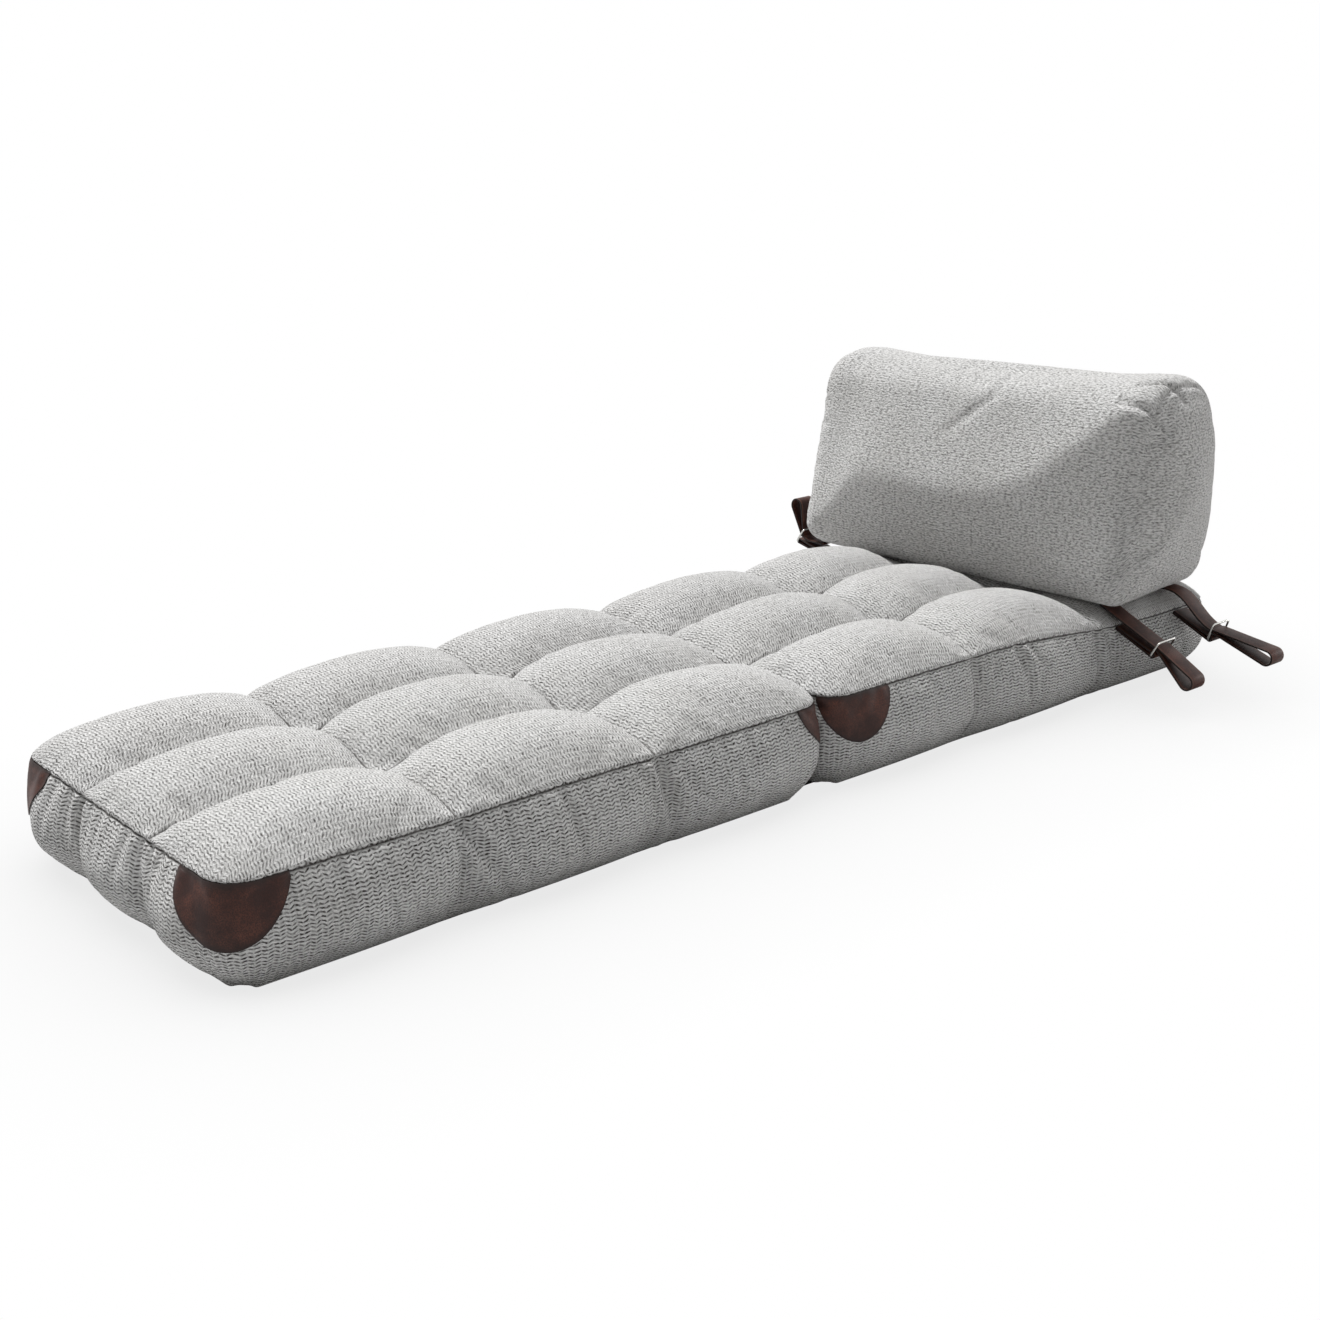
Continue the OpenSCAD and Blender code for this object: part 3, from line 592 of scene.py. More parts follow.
def bolster_sections():
    """Sections along the bolster: place, size and share of the swelling."""
    rows = [(u * (BOLSTER_W / 2 - END_ROUND), 1, 1 - 0.7 * u * u) for u in np.linspace(0, 1, 33)]
    for turn in np.radians(np.linspace(0, 90, 10)[1:]):
        rows.append((BOLSTER_W / 2 - END_ROUND * (1 - math.sin(turn)), 1 - END_SHRINK * (1 - math.cos(turn)), 0.3))
    shares = (0.94, 0.87, 0.78, 0.67, 0.55, 0.42, 0.28, 0.14)
    left, right = ([(BOLSTER_W / 2 + END_DOMES[side] * (1 - s * s), (1 - END_SHRINK) * s, 0.3) for s in shares]
                   for side in (-1, 1))
    return np.array([(-x, size, share) for x, size, share in (rows + left)[:0:-1]] + rows + right)


# The soft ridge on the bolster's front: place along it, height and how far it stands out
RIDGE = np.array([(-1.00, 0.07, 0.004), (-0.89, 0.14, 0.010), (-0.69, 0.36, 0.032), (-0.60, 0.47, 0.042),
                  (-0.40, 0.47, 0.046), (-0.08, 0.45, 0.043), (0.22, 0.47, 0.039), (0.48, 0.58, 0.038),
                  (0.59, 0.68, 0.036), (0.75, 0.79, 0.029), (0.82, 0.87, 0.022), (0.92, 0.93, 0.011), (1, 0.95, 0.005)])
RIDGE_ROUND = 0.10
# Creases and puckers: from and to, as places along and round the bolster, then depth and width
CREASES = (
    (0.050, 0.637, 0.045, 0.714, 0.0036, 0.009), (0.045, 0.714, 0.003, 0.751, 0.0045, 0.011),
    (0.003, 0.751, -0.037, 0.790, 0.0040, 0.011), (0.018, 0.640, 0.010, 0.700, 0.0030, 0.006),
    (-0.090, 0.675, -0.055, 0.620, 0.0030, 0.009), (0.310, 0.668, 0.366, 0.622, 0.0100, 0.0075),
    (0.298, 0.705, 0.364, 0.712, 0.0105, 0.0080), (-0.359, 0.741, -0.352, 0.741, 0.0060, 0.008),
    (0.352, 1.030, 0.362, 1.050, 0.0060, 0.009),
)


def ridge_at(u):
    """Height and rise of the ridge, its joints smoothed."""
    spots = [u + shift for shift in (-0.06, -0.03, 0, 0.03, 0.06)]
    return [np.mean([np.interp(v, RIDGE[:, 0], RIDGE[:, k]) for v in spots], axis=0) for k in (1, 2)]


def onto_bed(x, y, z):
    """Sets a place in the bolster's own measure on the cushion."""
    x = x - BOLSTER_SHIFT
    c, s = math.cos(BOLSTER_TURN), math.sin(BOLSTER_TURN)
    return np.stack([x * c - y * s, BOLSTER_Y + x * s + y * c, BOLSTER_Z + z], axis=1)


def bolster(name, node):
    profile, swells = bolster_profile()
    # The front's swelling gives way to the ridge's own
    swells = np.where(swells[:, :1] < 0, 0, swells)
    chord = np.roll(profile, -1, axis=0) - np.roll(profile, 1, axis=0)
    forward = np.clip(-chord[:, 1] / np.linalg.norm(chord, axis=1), 0, 1)
    sections = bolster_sections()
    nx, ny = len(profile), len(sections) - 1
    piece = counted_grid(name, nx, ny)
    i, j, _ = counts(piece, nx, ny)
    place = profile[i % nx] + swells[i % nx] * sections[j, 2][:, None]
    place = BOLSTER_MID + (place - BOLSTER_MID) * sections[j, 1][:, None]
    x, y, z = sections[j, 0], place[:, 0], place[:, 1]
    u, h = 2 * x / BOLSTER_W, z / BOLSTER_H
    peak, rise = ridge_at(u)
    away = np.clip(np.where(h < peak, (peak - h) / peak, (h - peak) / (1 - peak)), 0, 1)
    tent = 1 - (np.sqrt(away ** 2 + RIDGE_ROUND ** 2) - RIDGE_ROUND) / (math.sqrt(1 + RIDGE_ROUND ** 2) - RIDGE_ROUND)
    y = y - rise * tent * forward[i % nx] * np.clip((1.06 - np.abs(u)) / 0.06, 0, 1)
    z = z + (TOP_SLOPE * u - TOP_SAG * (1 - u * u)) * ease(h)
    set_places(piece, onto_bed(x, y, z))
    steps = np.linalg.norm(np.diff(np.vstack([profile, profile[:1]]), axis=0), axis=1)
    round_it = np.concatenate([[0], np.cumsum(steps)])
    end_section = np.argmin(np.abs(sections[:, 0] - (BOLSTER_W / 2 - END_ROUND * 0.12)))
    ends = (ny - end_section, end_section)
    cloth = piece.data.uv_layers.new(name="weave")
    corner = np.empty(len(piece.data.loops), dtype=int)
    piece.data.loops.foreach_get("vertex_index", corner)
    capped = np.repeat([j[list(face.vertices)].max() > ends[1] or j[list(face.vertices)].min() < ends[0]
                        for face in piece.data.polygons], 4)
    uv = np.where(capped[:, None], np.stack([y[corner], z[corner] + 3], axis=1),
                  np.stack([x[corner], round_it[i[corner]] + 5], axis=1))
    cloth.data.foreach_set("uv", uv.ravel())
    keep_value(piece, "end_seam", np.isin(j, ends))
    keep_value(piece, "from_middle", x)
    keep_value(piece, "round_it", round_it[i])
    resting = (z < 0.004) & (np.abs(x) < BOLSTER_W / 2 - END_ROUND)
    near_pole = sections[j, 1] < 0.5
    keep_value(piece, "held", np.where(resting | near_pole, 1.0, np.where(np.isin(j, ends), 0.6, 0.0)))
    # The bolster's knit: weaker painted shade in its gaps, deeper painted shade in the hollows between its nubs
    keep_value(piece, "shade_dash", np.full(len(x), 0.3))
    keep_value(piece, "nub_shade", np.ones(len(x)))
    close_up(piece)
    inflate(piece, pressure=4, cap=0.008, stretch=0.03)
    places = get_places(piece)
    places[:, 2] = np.maximum(places[:, 2], BOLSTER_Z)
    set_places(piece, places)
    apply_modifier(piece, "SUBSURF", levels=1, render_levels=1)
    for side in (-1, 1):
        close_end(piece, side)
    places, normals = get_places(piece), point_normals(piece)
    push = -0.0010 * kept_value(piece, "end_seam") - bolster_creases(piece)
    set_places(piece, places + normals * push[:, None])
    set_active(piece)
    bpy.ops.object.shade_smooth()
    stands_for(piece, node, "bolster", "boucle_cloth")
    return piece


def close_end(piece, side):
    """Draws the small hole left at one end of the bolster to its middle."""
    set_active(piece)
    bpy.ops.object.mode_set(mode="EDIT")
    bpy.ops.mesh.select_mode(type="VERT")
    bpy.ops.mesh.select_all(action="DESELECT")
    bpy.ops.mesh.select_non_manifold()
    bpy.ops.object.mode_set(mode="OBJECT")
    points = piece.data.vertices
    for point in points:
        point.select = point.select and point.co.x * side > 0
    for rim in piece.data.edges:
        rim.select = all(points[n].select for n in rim.vertices)
    bpy.ops.object.mode_set(mode="EDIT")
    bpy.ops.mesh.select_mode(type="EDGE")
    bpy.ops.mesh.extrude_region_move()
    bpy.ops.mesh.merge(type="CENTER")
    bpy.ops.mesh.select_all(action="SELECT")
    bpy.ops.mesh.normals_make_consistent(inside=False)
    bpy.ops.object.mode_set(mode="OBJECT")
    # The new faces take the weave as their neighbours do, by place
    weave, places = piece.data.uv_layers["weave"].data, get_places(piece)
    known = {}
    for face in piece.data.polygons:
        if face.loop_total == 4:
            for n in face.loop_indices:
                known.setdefault(piece.data.loops[n].vertex_index, weave[n].uv.copy())
    fan = [n for face in piece.data.polygons if face.loop_total == 3 and places[face.vertices[0], 0] * side > 0
           for n in face.loop_indices]
    rim = [n for n in fan if piece.data.loops[n].vertex_index in known]
    middle = sum((known[piece.data.loops[n].vertex_index] for n in rim), Vector((0, 0))) / len(rim)
    for n in fan:
        weave[n].uv = known.get(piece.data.loops[n].vertex_index, middle)


def bolster_creases(piece):
    return dents(kept_value(piece, "from_middle"), kept_value(piece, "round_it"), CREASES)


bolster_cushion = bolster("bolster_cushion", "bolster_cover")

# ---- the leather corners ----

ROUND_HALF = CORNER_R * math.pi / 4
# Corner patches: node, body, side, middle along the edge, half width, drop, at the fold, on a pressed cushion
PATCHES = (
    ("head_corner_right", "head", 1, 0.051, 0.072, 0.078, True, True),
    ("head_corner_left", "head", -1, 0.051, 0.072, 0.078, True, True),
    ("foot_corner_right", "foot", 1, -0.006, 0.090, 0.088, False, False),
    ("foot_corner_left", "foot", -1, -0.006, 0.090, 0.088, False, False),
    ("foot_fold_corner_right", "foot", 1, -0.030, 0.084, 0.078, True, False),
    ("foot_fold_corner_left", "foot", -1, -0.030, 0.084, 0.078, True, False),
)


def leather_corner(node, body, side, middle, half, low, fold, pressed, cushion_piece):
    """A half round of leather, laid on the corner under the edge seam."""
    nx, ny = 44, 20
    piece = counted_grid("leather_" + node, nx, ny)
    i, j, _ = counts(piece, nx, ny)
    t = (2 * i / nx - 1) * 0.98
    s = middle + half * t
    f = 0.008 + low * (1 - t * t) ** PATCH_POINT * (j / ny) / (SEAM_H - BASE_T)
    turn = np.radians(45 + 45 * np.clip(s / ROUND_HALF, -1, 1))
    x = HALF_W - CORNER_R + CORNER_R * np.sin(turn) - np.clip(-s - ROUND_HALF, 0, None)
    d = CUSHION_LEN - CORNER_R + CORNER_R * np.cos(turn) - np.clip(s - ROUND_HALF, 0, None)
    p = CUSHION_LEN - d if fold else d
    out_x, out_p = np.sin(turn), (-1 if fold else 1) * np.cos(turn)
    share = np.where(np.abs(s) <= ROUND_HALF, 0,
                     np.where(s < 0, past_corner(x + HALF_W, CUSHION_W), past_corner(d, CUSHION_LEN)))
    z_seam = seam_height(p, pressed) - PINCH * drawn(share)
    off = wall_swell(f, out_x, out_p, share) + 0.002
    along = 1 if body == "head" else -1
    set_places(piece, np.stack([side * (x + out_x * off),
                                FOLD_Y + along * (FOLD_GAP / 2 + np.clip(p + out_p * off, 0, None)),
                                z_seam + (BASE_T - z_seam) * f], axis=1))
    rim = np.minimum(np.minimum(i, nx - i) / 5, np.minimum(j, ny - j) / 4)
    keep_value(piece, "rim", np.clip(1 - rim, 0, 1))
    apply_modifier(piece, "SHRINKWRAP", target=cushion_piece, wrap_method="NEAREST_SURFACEPOINT",
                   wrap_mode="ABOVE_SURFACE", offset=0.0006)
    apply_modifier(piece, "SMOOTH", factor=0.5, iterations=3)
    apply_modifier(piece, "SHRINKWRAP", target=cushion_piece, wrap_method="NEAREST_SURFACEPOINT",
                   wrap_mode="OUTSIDE_SURFACE", offset=0.0004)
    places = get_places(piece)
    limit = FOLD_Y + along * FOLD_GAP / 4
    places[:, 1] = np.maximum(places[:, 1], limit) if along > 0 else np.minimum(places[:, 1], limit)
    set_places(piece, places)
    outward = point_normals(piece)[:, 0] * side
    if np.median(outward) < 0:
        set_active(piece)
        bpy.ops.object.mode_set(mode="EDIT")
        bpy.ops.mesh.select_all(action="SELECT")
        bpy.ops.mesh.flip_normals()
        bpy.ops.object.mode_set(mode="OBJECT")
    apply_modifier(piece, "SOLIDIFY", thickness=0.0014, offset=1, use_even_offset=False)
    apply_modifier(piece, "BEVEL", width=0.0004, segments=2, limit_method="ANGLE", angle_limit=math.radians(50))
    set_active(piece)
    bpy.ops.object.shade_smooth()
    stands_for(piece, node, body, "leather")
    return piece


leather_pieces = []
for patch in PATCHES:
    leather_pieces.append(leather_corner(*patch, head_cushion if patch[1] == "head" else foot_cushion))

# ---- straps, rings and pull loops ----


def teardrop(r1, r2, length, steps=14):
    """Middle line of a strap folded on itself, from a narrow nose to a round tip."""
    lean = math.asin((r2 - r1) / length)
    nose = lean + math.pi / 2 + (math.pi - 2 * lean) * np.linspace(0, 1, steps)
    tip = -math.pi / 2 - lean + (math.pi + 2 * lean) * np.linspace(0, 1, steps)
    return np.vstack([r1 * np.stack([np.cos(nose), np.sin(nose)], axis=1),
                      r2 * np.stack([np.cos(tip), np.sin(tip)], axis=1) + (length, 0)])


def turned(points, angle, start):
    c, s = math.cos(angle), math.sin(angle)
    return points @ np.array([[c, s], [-s, c]]) + start


def strap(name, path, side, y, closed):
    """Leather strap: one edge drawn out along its path, then given its thickness."""
    path = np.vstack([path, path[:1]]) if closed else np.asarray(path)
    bpy.ops.object.select_all(action="DESELECT")
    bpy.ops.mesh.primitive_plane_add(size=1)
    piece = bpy.context.object
    piece.name = piece.data.name = name
    corners = get_places(piece)
    spot = np.where(corners[:, :1] < 0, path[0], path[1])
    set_places(piece, np.stack([side * spot[:, 0], y + corners[:, 1] * STRAP_W, spot[:, 1]], axis=1))
    bpy.ops.object.mode_set(mode="EDIT")
    bpy.ops.mesh.select_all(action="DESELECT")
    bpy.ops.object.mode_set(mode="OBJECT")
    for point, corner in zip(piece.data.vertices, corners):
        point.select = corner[0] > 0
    bpy.ops.object.mode_set(mode="EDIT")
    bpy.ops.mesh.select_mode(type="EDGE")
    for here, there in zip(path[1:], path[2:]):
        step = there - here
        bpy.ops.mesh.extrude_region_move(TRANSFORM_OT_translate={"value": (side * step[0], 0, step[1])})
    bpy.ops.object.mode_set(mode="OBJECT")
    close_up(piece, 1e-5)
    apply_modifier(piece, "SOLIDIFY", thickness=STRAP_T - 0.0002, offset=0, use_even_offset=True)
    apply_modifier(piece, "BEVEL", width=0.0007, segments=2, limit_method="ANGLE", angle_limit=math.radians(60))
    set_active(piece)
    bpy.ops.object.shade_smooth_by_angle(angle=math.radians(35))
    keep_value(piece, "across", (get_places(piece)[:, 1] - y) / (STRAP_W / 2))
    return piece


def bolster_strap_path(side, out_x, up_z, tilt):
    """From under the bolster's end, down and out to the middle of its ring."""
    aim_at = np.array([math.cos(math.radians(tilt)), math.sin(math.radians(tilt))])
    start = np.array([BOLSTER_W / 2 - side * BOLSTER_SHIFT - END_ROUND - 0.008, BOLSTER_Z - 0.0021])
    bend = start + (0.022, 0)
    stop = np.array([out_x, up_z]) - aim_at * 0.0045
    pull = np.linalg.norm(stop - bend) * 0.4
    t = np.linspace(0, 1, 19)[:, None]
    curve = ((1 - t) ** 3 * bend + 3 * (1 - t) ** 2 * t * (bend + (pull, 0))
             + 3 * (1 - t) * t * t * (stop - aim_at * pull) + t ** 3 * stop)
    return np.vstack([start, curve, stop + aim_at * 0.0035])


for name, (side, y, out_x, up_z, tilt, angle, length) in STRAPS.items():
    middle = np.array([out_x, up_z])
    path = bolster_strap_path(side, out_x, up_z, tilt)
    piece = strap("strap_" + name, path, side, y, closed=False)
    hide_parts("bolster_strap_" + name)
    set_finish(piece, "leather")
    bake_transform(piece)
    leather_pieces.append(piece)

    grip = teardrop(NOSE_R - STRAP_T / 2, LOOP_TIP_R + STRAP_T / 2, length - LOOP_TIP_R - STRAP_T)
    piece = strap("grip_" + name, turned(grip, math.radians(angle), middle), side, y, closed=True)
    stands_for(piece, "pull_loop_" + name, "loop_" + name, "leather")
    leather_pieces.append(piece)

    bar = middle - RING_BAR * np.array([-math.sin(math.radians(tilt)), math.cos(math.radians(tilt))])
    part = frame["nodes"]["anchor_strap_" + name]
    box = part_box("anchor_strap_" + name)
    near = min(abs(box[0][0]), abs(box[1][0])) + NOSE_R
    p = y - FOLD_Y - FOLD_GAP / 2
    start = np.array([near, seam_height(p, True) - NOSE_R - 0.002])
    reach = bar - start
    fold = teardrop(NOSE_R - STRAP_T / 2, EYE_R + STRAP_T / 2, np.linalg.norm(reach))
    piece = strap("anchor_" + name, turned(fold, math.atan2(reach[1], reach[0]), start), side, y, closed=True)
    stands_for(piece, "anchor_strap_" + name, "head", "leather")
    leather_pieces.append(piece)

ring_pieces = []
for name in STRAPS:
    piece = copy_of("ring_" + name, "wire_ring_" + name)
    apply_modifier(piece, "SUBSURF", levels=2, render_levels=2)
    set_active(piece)
    bpy.ops.object.shade_smooth()
    stands_for(piece, "ring_" + name, "head", "ring_metal")
    ring_pieces.append(piece)

# ---- inside and underneath ----

BASE_HEM = 0.034
BASE_START = 0.0603
BASE_CORNER = 0.060
STRIP_HALF = 0.242
HINGE_REACH = 0.060
foam_pieces, cord_pieces, under_pieces = [], [], []
for end in ("head", "foot"):
    piece = copy_of(end + "_foam", end + "_foam_slab")
    apply_modifier(piece, "BEVEL", width=0.003, segments=3, limit_method="ANGLE", angle_limit=math.radians(60))
    stands_for(piece, end + "_foam", end, "foam")
    foam_pieces.append(piece)
    piece = copy_of(end + "_ties", end + "_tuft_cords")
    apply_modifier(piece, "BEVEL", width=0.0004, segments=2, limit_method="ANGLE", angle_limit=math.radians(60))
    stands_for(piece, end + "_ties", end, "tie_cord")
    cord_pieces.append(piece)
    # The base cloth: one layer drawn flat under the cushion, its hem turned in
    nx, ny = 76, 120
    piece = counted_grid(end + "_under_cloth", nx, ny)
    i, j, _ = counts(piece, nx, ny)
    half = np.array([HALF_W - BASE_HEM, (CUSHION_LEN - BASE_HEM - BASE_START) / 2])
    spot = np.stack([2 * i / nx - 1, 2 * j / ny - 1], axis=1) * half
    over = np.abs(spot) - (half - BASE_CORNER)
    in_corner = (over > 0).all(axis=1)
    reach, far = over.max(axis=1), np.maximum(np.hypot(*over.T), 1e-9)
    pulled = np.sign(spot) * (half - BASE_CORNER + over * (reach / far)[:, None])
    spot = np.where(in_corner[:, None], pulled, spot)
    p = BASE_START + half[1] + spot[:, 1]
    rim = np.minimum(half[0] - np.abs(spot[:, 0]), half[1] - np.abs(spot[:, 1]))
    wave = np.sin(spot[:, 0] * 41 + 2 * np.sin(p * 17)) * np.sin(p * 29) * np.clip(rim / 0.04, 0, 1)
    along = 1 if end == "head" else -1
    set_places(piece, np.stack([spot[:, 0], FOLD_Y + along * (FOLD_GAP / 2 + p), 0.0010 + 0.0003 * wave], axis=1))
    close_up(piece)
    apply_modifier(piece, "SOLIDIFY", thickness=0.0009, offset=0)
    keep_value(piece, "hem", np.resize(rim < 0.012, len(piece.data.vertices)))
    stands_for(piece, end + "_base_cloth", end, "under_cloth")
    under_pieces.append(piece)

# The hinge: one strip sewn under both cushions, its rows close together where they meet
nx, ny = 76, 34
piece = counted_grid("hinge_strip", nx, ny)
i, j, _ = counts(piece, nx, ny)
marks = np.concatenate([np.linspace(-HINGE_REACH, -0.003, 14), np.linspace(-0.0022, 0.0022, 7), np.linspace(0.003, HINGE_REACH, 14)])
set_places(piece, np.stack([(2 * i / nx - 1) * STRIP_HALF, FOLD_Y + marks[j], np.full(len(i), 0.0009)], axis=1))
close_up(piece)
apply_modifier(piece, "SOLIDIFY", thickness=0.0009, offset=0)
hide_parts("head_hinge_leaf", "foot_hinge_leaf")
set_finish(piece, "under_cloth")
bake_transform(piece)
under_pieces.append(piece)

piece = copy_of("bolster_foam", "bolster_foam_block")
apply_modifier(piece, "BEVEL", width=0.010, segments=4, limit_method="ANGLE", angle_limit=math.radians(60))
stands_for(piece, "bolster_foam", "bolster", "foam")
foam_pieces.append(piece)


# ---- materials ----

# Loops of the bouclé: length of a streak of painted shade between the loops, and spacing of the rows
DASH = 0.0074
ROW = 0.0052


def new_material(name):
    made = bpy.data.materials.new(name)
    made.use_nodes = True
    return made, made.node_tree, made.node_tree.nodes["Principled BSDF"]


def boucle_knit():
    """Bouclé knit of thick pale yarn: soft loops in staggered rows, with painted shade in the gaps between them and in
    the hollows between the nubs.
    """
    made, tree, shader = new_material("boucle_knit")
    weave = add_node(tree, "ShaderNodeUVMap", uv_map="weave")
    drift = add_node(tree, "ShaderNodeTexNoise", {"Vector": weave.outputs[0], "Scale": 110, "Detail": 2})
    bent = add_node(tree, "ShaderNodeVectorMath", {0: drift.outputs["Color"], 1: (0.0056, 0.0046, 0), 2: weave.outputs[0]},
                    operation="MULTIPLY_ADD")
    place = add_node(tree, "ShaderNodeSeparateXYZ", {0: bent.outputs[0]})
    # The rows run in a zigzag: the dashes lean up and down by turns
    across = add_node(tree, "ShaderNodeMath", {0: place.outputs[0], 1: 1 / DASH}, operation="MULTIPLY")
    column = add_node(tree, "ShaderNodeMath", {0: across.outputs[0]}, operation="FLOOR")
    inside = add_node(tree, "ShaderNodeMath", {0: across.outputs[0]}, operation="FRACT")
    half = add_node(tree, "ShaderNodeMath", {0: across.outputs[0], 1: 0.5}, operation="MULTIPLY")
    lean = add_node(tree, "ShaderNodeMath", {0: half.outputs[0], 1: 0.5}, operation="PINGPONG")
    row = add_node(tree, "ShaderNodeMath", {0: place.outputs[1], 1: 1 / ROW, 2: lean.outputs[0]}, operation="MULTIPLY_ADD")
    nearest = add_node(tree, "ShaderNodeMath", {0: row.outputs[0]}, operation="ROUND")
    turn = add_node(tree, "ShaderNodeMath", {0: row.outputs[0], 1: 2 * math.pi}, operation="MULTIPLY")
    wave = add_node(tree, "ShaderNodeMath", {0: turn.outputs[0]}, operation="COSINE")
    deep = add_node(tree, "ShaderNodeMapRange", {"Value": wave.outputs[0], 1: -0.05, 2: 0.72})
    bow = add_node(tree, "ShaderNodeMath", {0: inside.outputs[0], 1: math.pi}, operation="MULTIPLY")
    round_end = add_node(tree, "ShaderNodeMath", {0: bow.outputs[0]}, operation="SINE")
    reach = add_node(tree, "ShaderNodeMath", {0: round_end.outputs[0], 1: 0.55}, operation="POWER")
    cell = add_node(tree, "ShaderNodeCombineXYZ", {0: column.outputs[0], 1: nearest.outputs[0]})
    chance = add_node(tree, "ShaderNodeTexWhiteNoise", {"Vector": cell.outputs[0]}, noise_dimensions="2D")
    strong = add_node(tree, "ShaderNodeMapRange", {"Value": chance.outputs["Value"], 3: 0.70, 4: 1.25})
    # The gaps between the loops are darkened by painted shade, in streaks along the rows
    shade_dash = add_node(tree, "ShaderNodeMath", {0: deep.outputs[0], 1: reach.outputs[0]}, operation="MULTIPLY")
    # How strong the painted shade in the gaps is on each piece
    share = add_node(tree, "ShaderNodeAttribute", attribute_name="shade_dash")
    gap_shade = add_node(tree, "ShaderNodeMath", {0: shade_dash.outputs[0], 1: strong.outputs[0]}, operation="MULTIPLY")
    gap_shade = add_node(tree, "ShaderNodeMath", {0: gap_shade.outputs[0], 1: share.outputs["Fac"]}, operation="MULTIPLY", use_clamp=True)
    # Nubs of the curled yarn, 5 mm long, and its fuzz, drawn at 1.5 mm so that it shows
    drawn_out = add_node(tree, "ShaderNodeVectorMath", {0: bent.outputs[0], 1: (1 / 0.0066, 1 / 0.0031, 0)}, operation="MULTIPLY")
    nubs = add_node(tree, "ShaderNodeTexNoise", {"Vector": drawn_out.outputs[0], "Scale": 1, "Detail": 2, "Roughness": 0.6},
                    noise_dimensions="2D")
    fuzz = add_node(tree, "ShaderNodeTexNoise", {"Vector": weave.outputs[0], "Scale": 1 / 0.0015, "Detail": 2})
    # Painted shade in the hollows between the nubs
    hollow_shade = add_node(tree, "ShaderNodeMapRange", {"Value": nubs.outputs["Fac"], 1: 0.55, 2: 0.36, 3: 0, 4: 0.50})
    # How deep the painted shade in the hollows between the nubs is on each piece
    hollow_shade_share = add_node(tree, "ShaderNodeAttribute", attribute_name="nub_shade")
    more = add_node(tree, "ShaderNodeMath", {0: hollow_shade_share.outputs["Fac"], 1: 0.5, 2: 0.5}, operation="MULTIPLY_ADD")
    hollow_shade = add_node(tree, "ShaderNodeMath", {0: hollow_shade.outputs[0], 1: more.outputs[0]}, operation="MULTIPLY")
    dark = add_node(tree, "ShaderNodeMath", {0: gap_shade.outputs[0], 1: 0.82, 2: hollow_shade.outputs[0]}, operation="MULTIPLY_ADD", use_clamp=True)
    yarn = add_node(tree, "ShaderNodeMix", {0: fuzz.outputs["Fac"], 6: linear("#dddcda"), 7: linear("#ffffff")}, data_type="RGBA")
    dyed = add_node(tree, "ShaderNodeTexNoise", {"Vector": weave.outputs[0], "Scale": 9, "Detail": 3})
    worn = add_node(tree, "ShaderNodeMapRange", {"Value": dyed.outputs["Fac"], 1: 0.3, 2: 0.7, 3: 0, 4: 0.22})
    pale = add_node(tree, "ShaderNodeMix", {0: worn.outputs[0], 6: yarn.outputs[2], 7: linear("#cfccc6")}, data_type="RGBA")
    # The pale yarn darkened to #393430 by the painted shade of its gaps and hollows
    knit = add_node(tree, "ShaderNodeMix", {0: dark.outputs[0], 6: pale.outputs[2], 7: linear("#393430")}, data_type="RGBA")
    # The seams: needle holes and shade along the stitching
    channel = add_node(tree, "ShaderNodeAttribute", attribute_name="channel")
    edge = add_node(tree, "ShaderNodeAttribute", attribute_name="edge_seam")
    sewn = add_node(tree, "ShaderNodeMath", {0: channel.outputs["Fac"], 1: edge.outputs["Fac"]}, operation="MAXIMUM")
    line = add_node(tree, "ShaderNodeMapRange", {"Value": sewn.outputs[0], 1: 0.35, 2: 0.85, 3: 0, 4: 0.86})
    seamed = add_node(tree, "ShaderNodeMix", {0: line.outputs[0], 6: knit.outputs[2], 7: linear("#38332f")}, data_type="RGBA")
    tree.links.new(seamed.outputs[2], shader.inputs["Base Color"])
    loops = add_node(tree, "ShaderNodeMath", {0: gap_shade.outputs[0], 1: -0.9, 2: fuzz.outputs["Fac"]}, operation="MULTIPLY_ADD")
    raised = add_node(tree, "ShaderNodeMath", {0: nubs.outputs["Fac"], 1: 1.6, 2: loops.outputs[0]}, operation="MULTIPLY_ADD")
    bump = add_node(tree, "ShaderNodeBump", {"Height": raised.outputs[0], "Strength": 1.0, "Distance": 0.0020})
    tree.links.new(bump.outputs[0], shader.inputs["Normal"])
    shader.inputs["Roughness"].default_value = 0.95
    shader.inputs["IOR"].default_value = 1.46
    shader.inputs["Specular IOR Level"].default_value = 0.2
    shader.inputs["Sheen Weight"].default_value = 0.15
    shader.inputs["Sheen Roughness"].default_value = 0.5
    return made


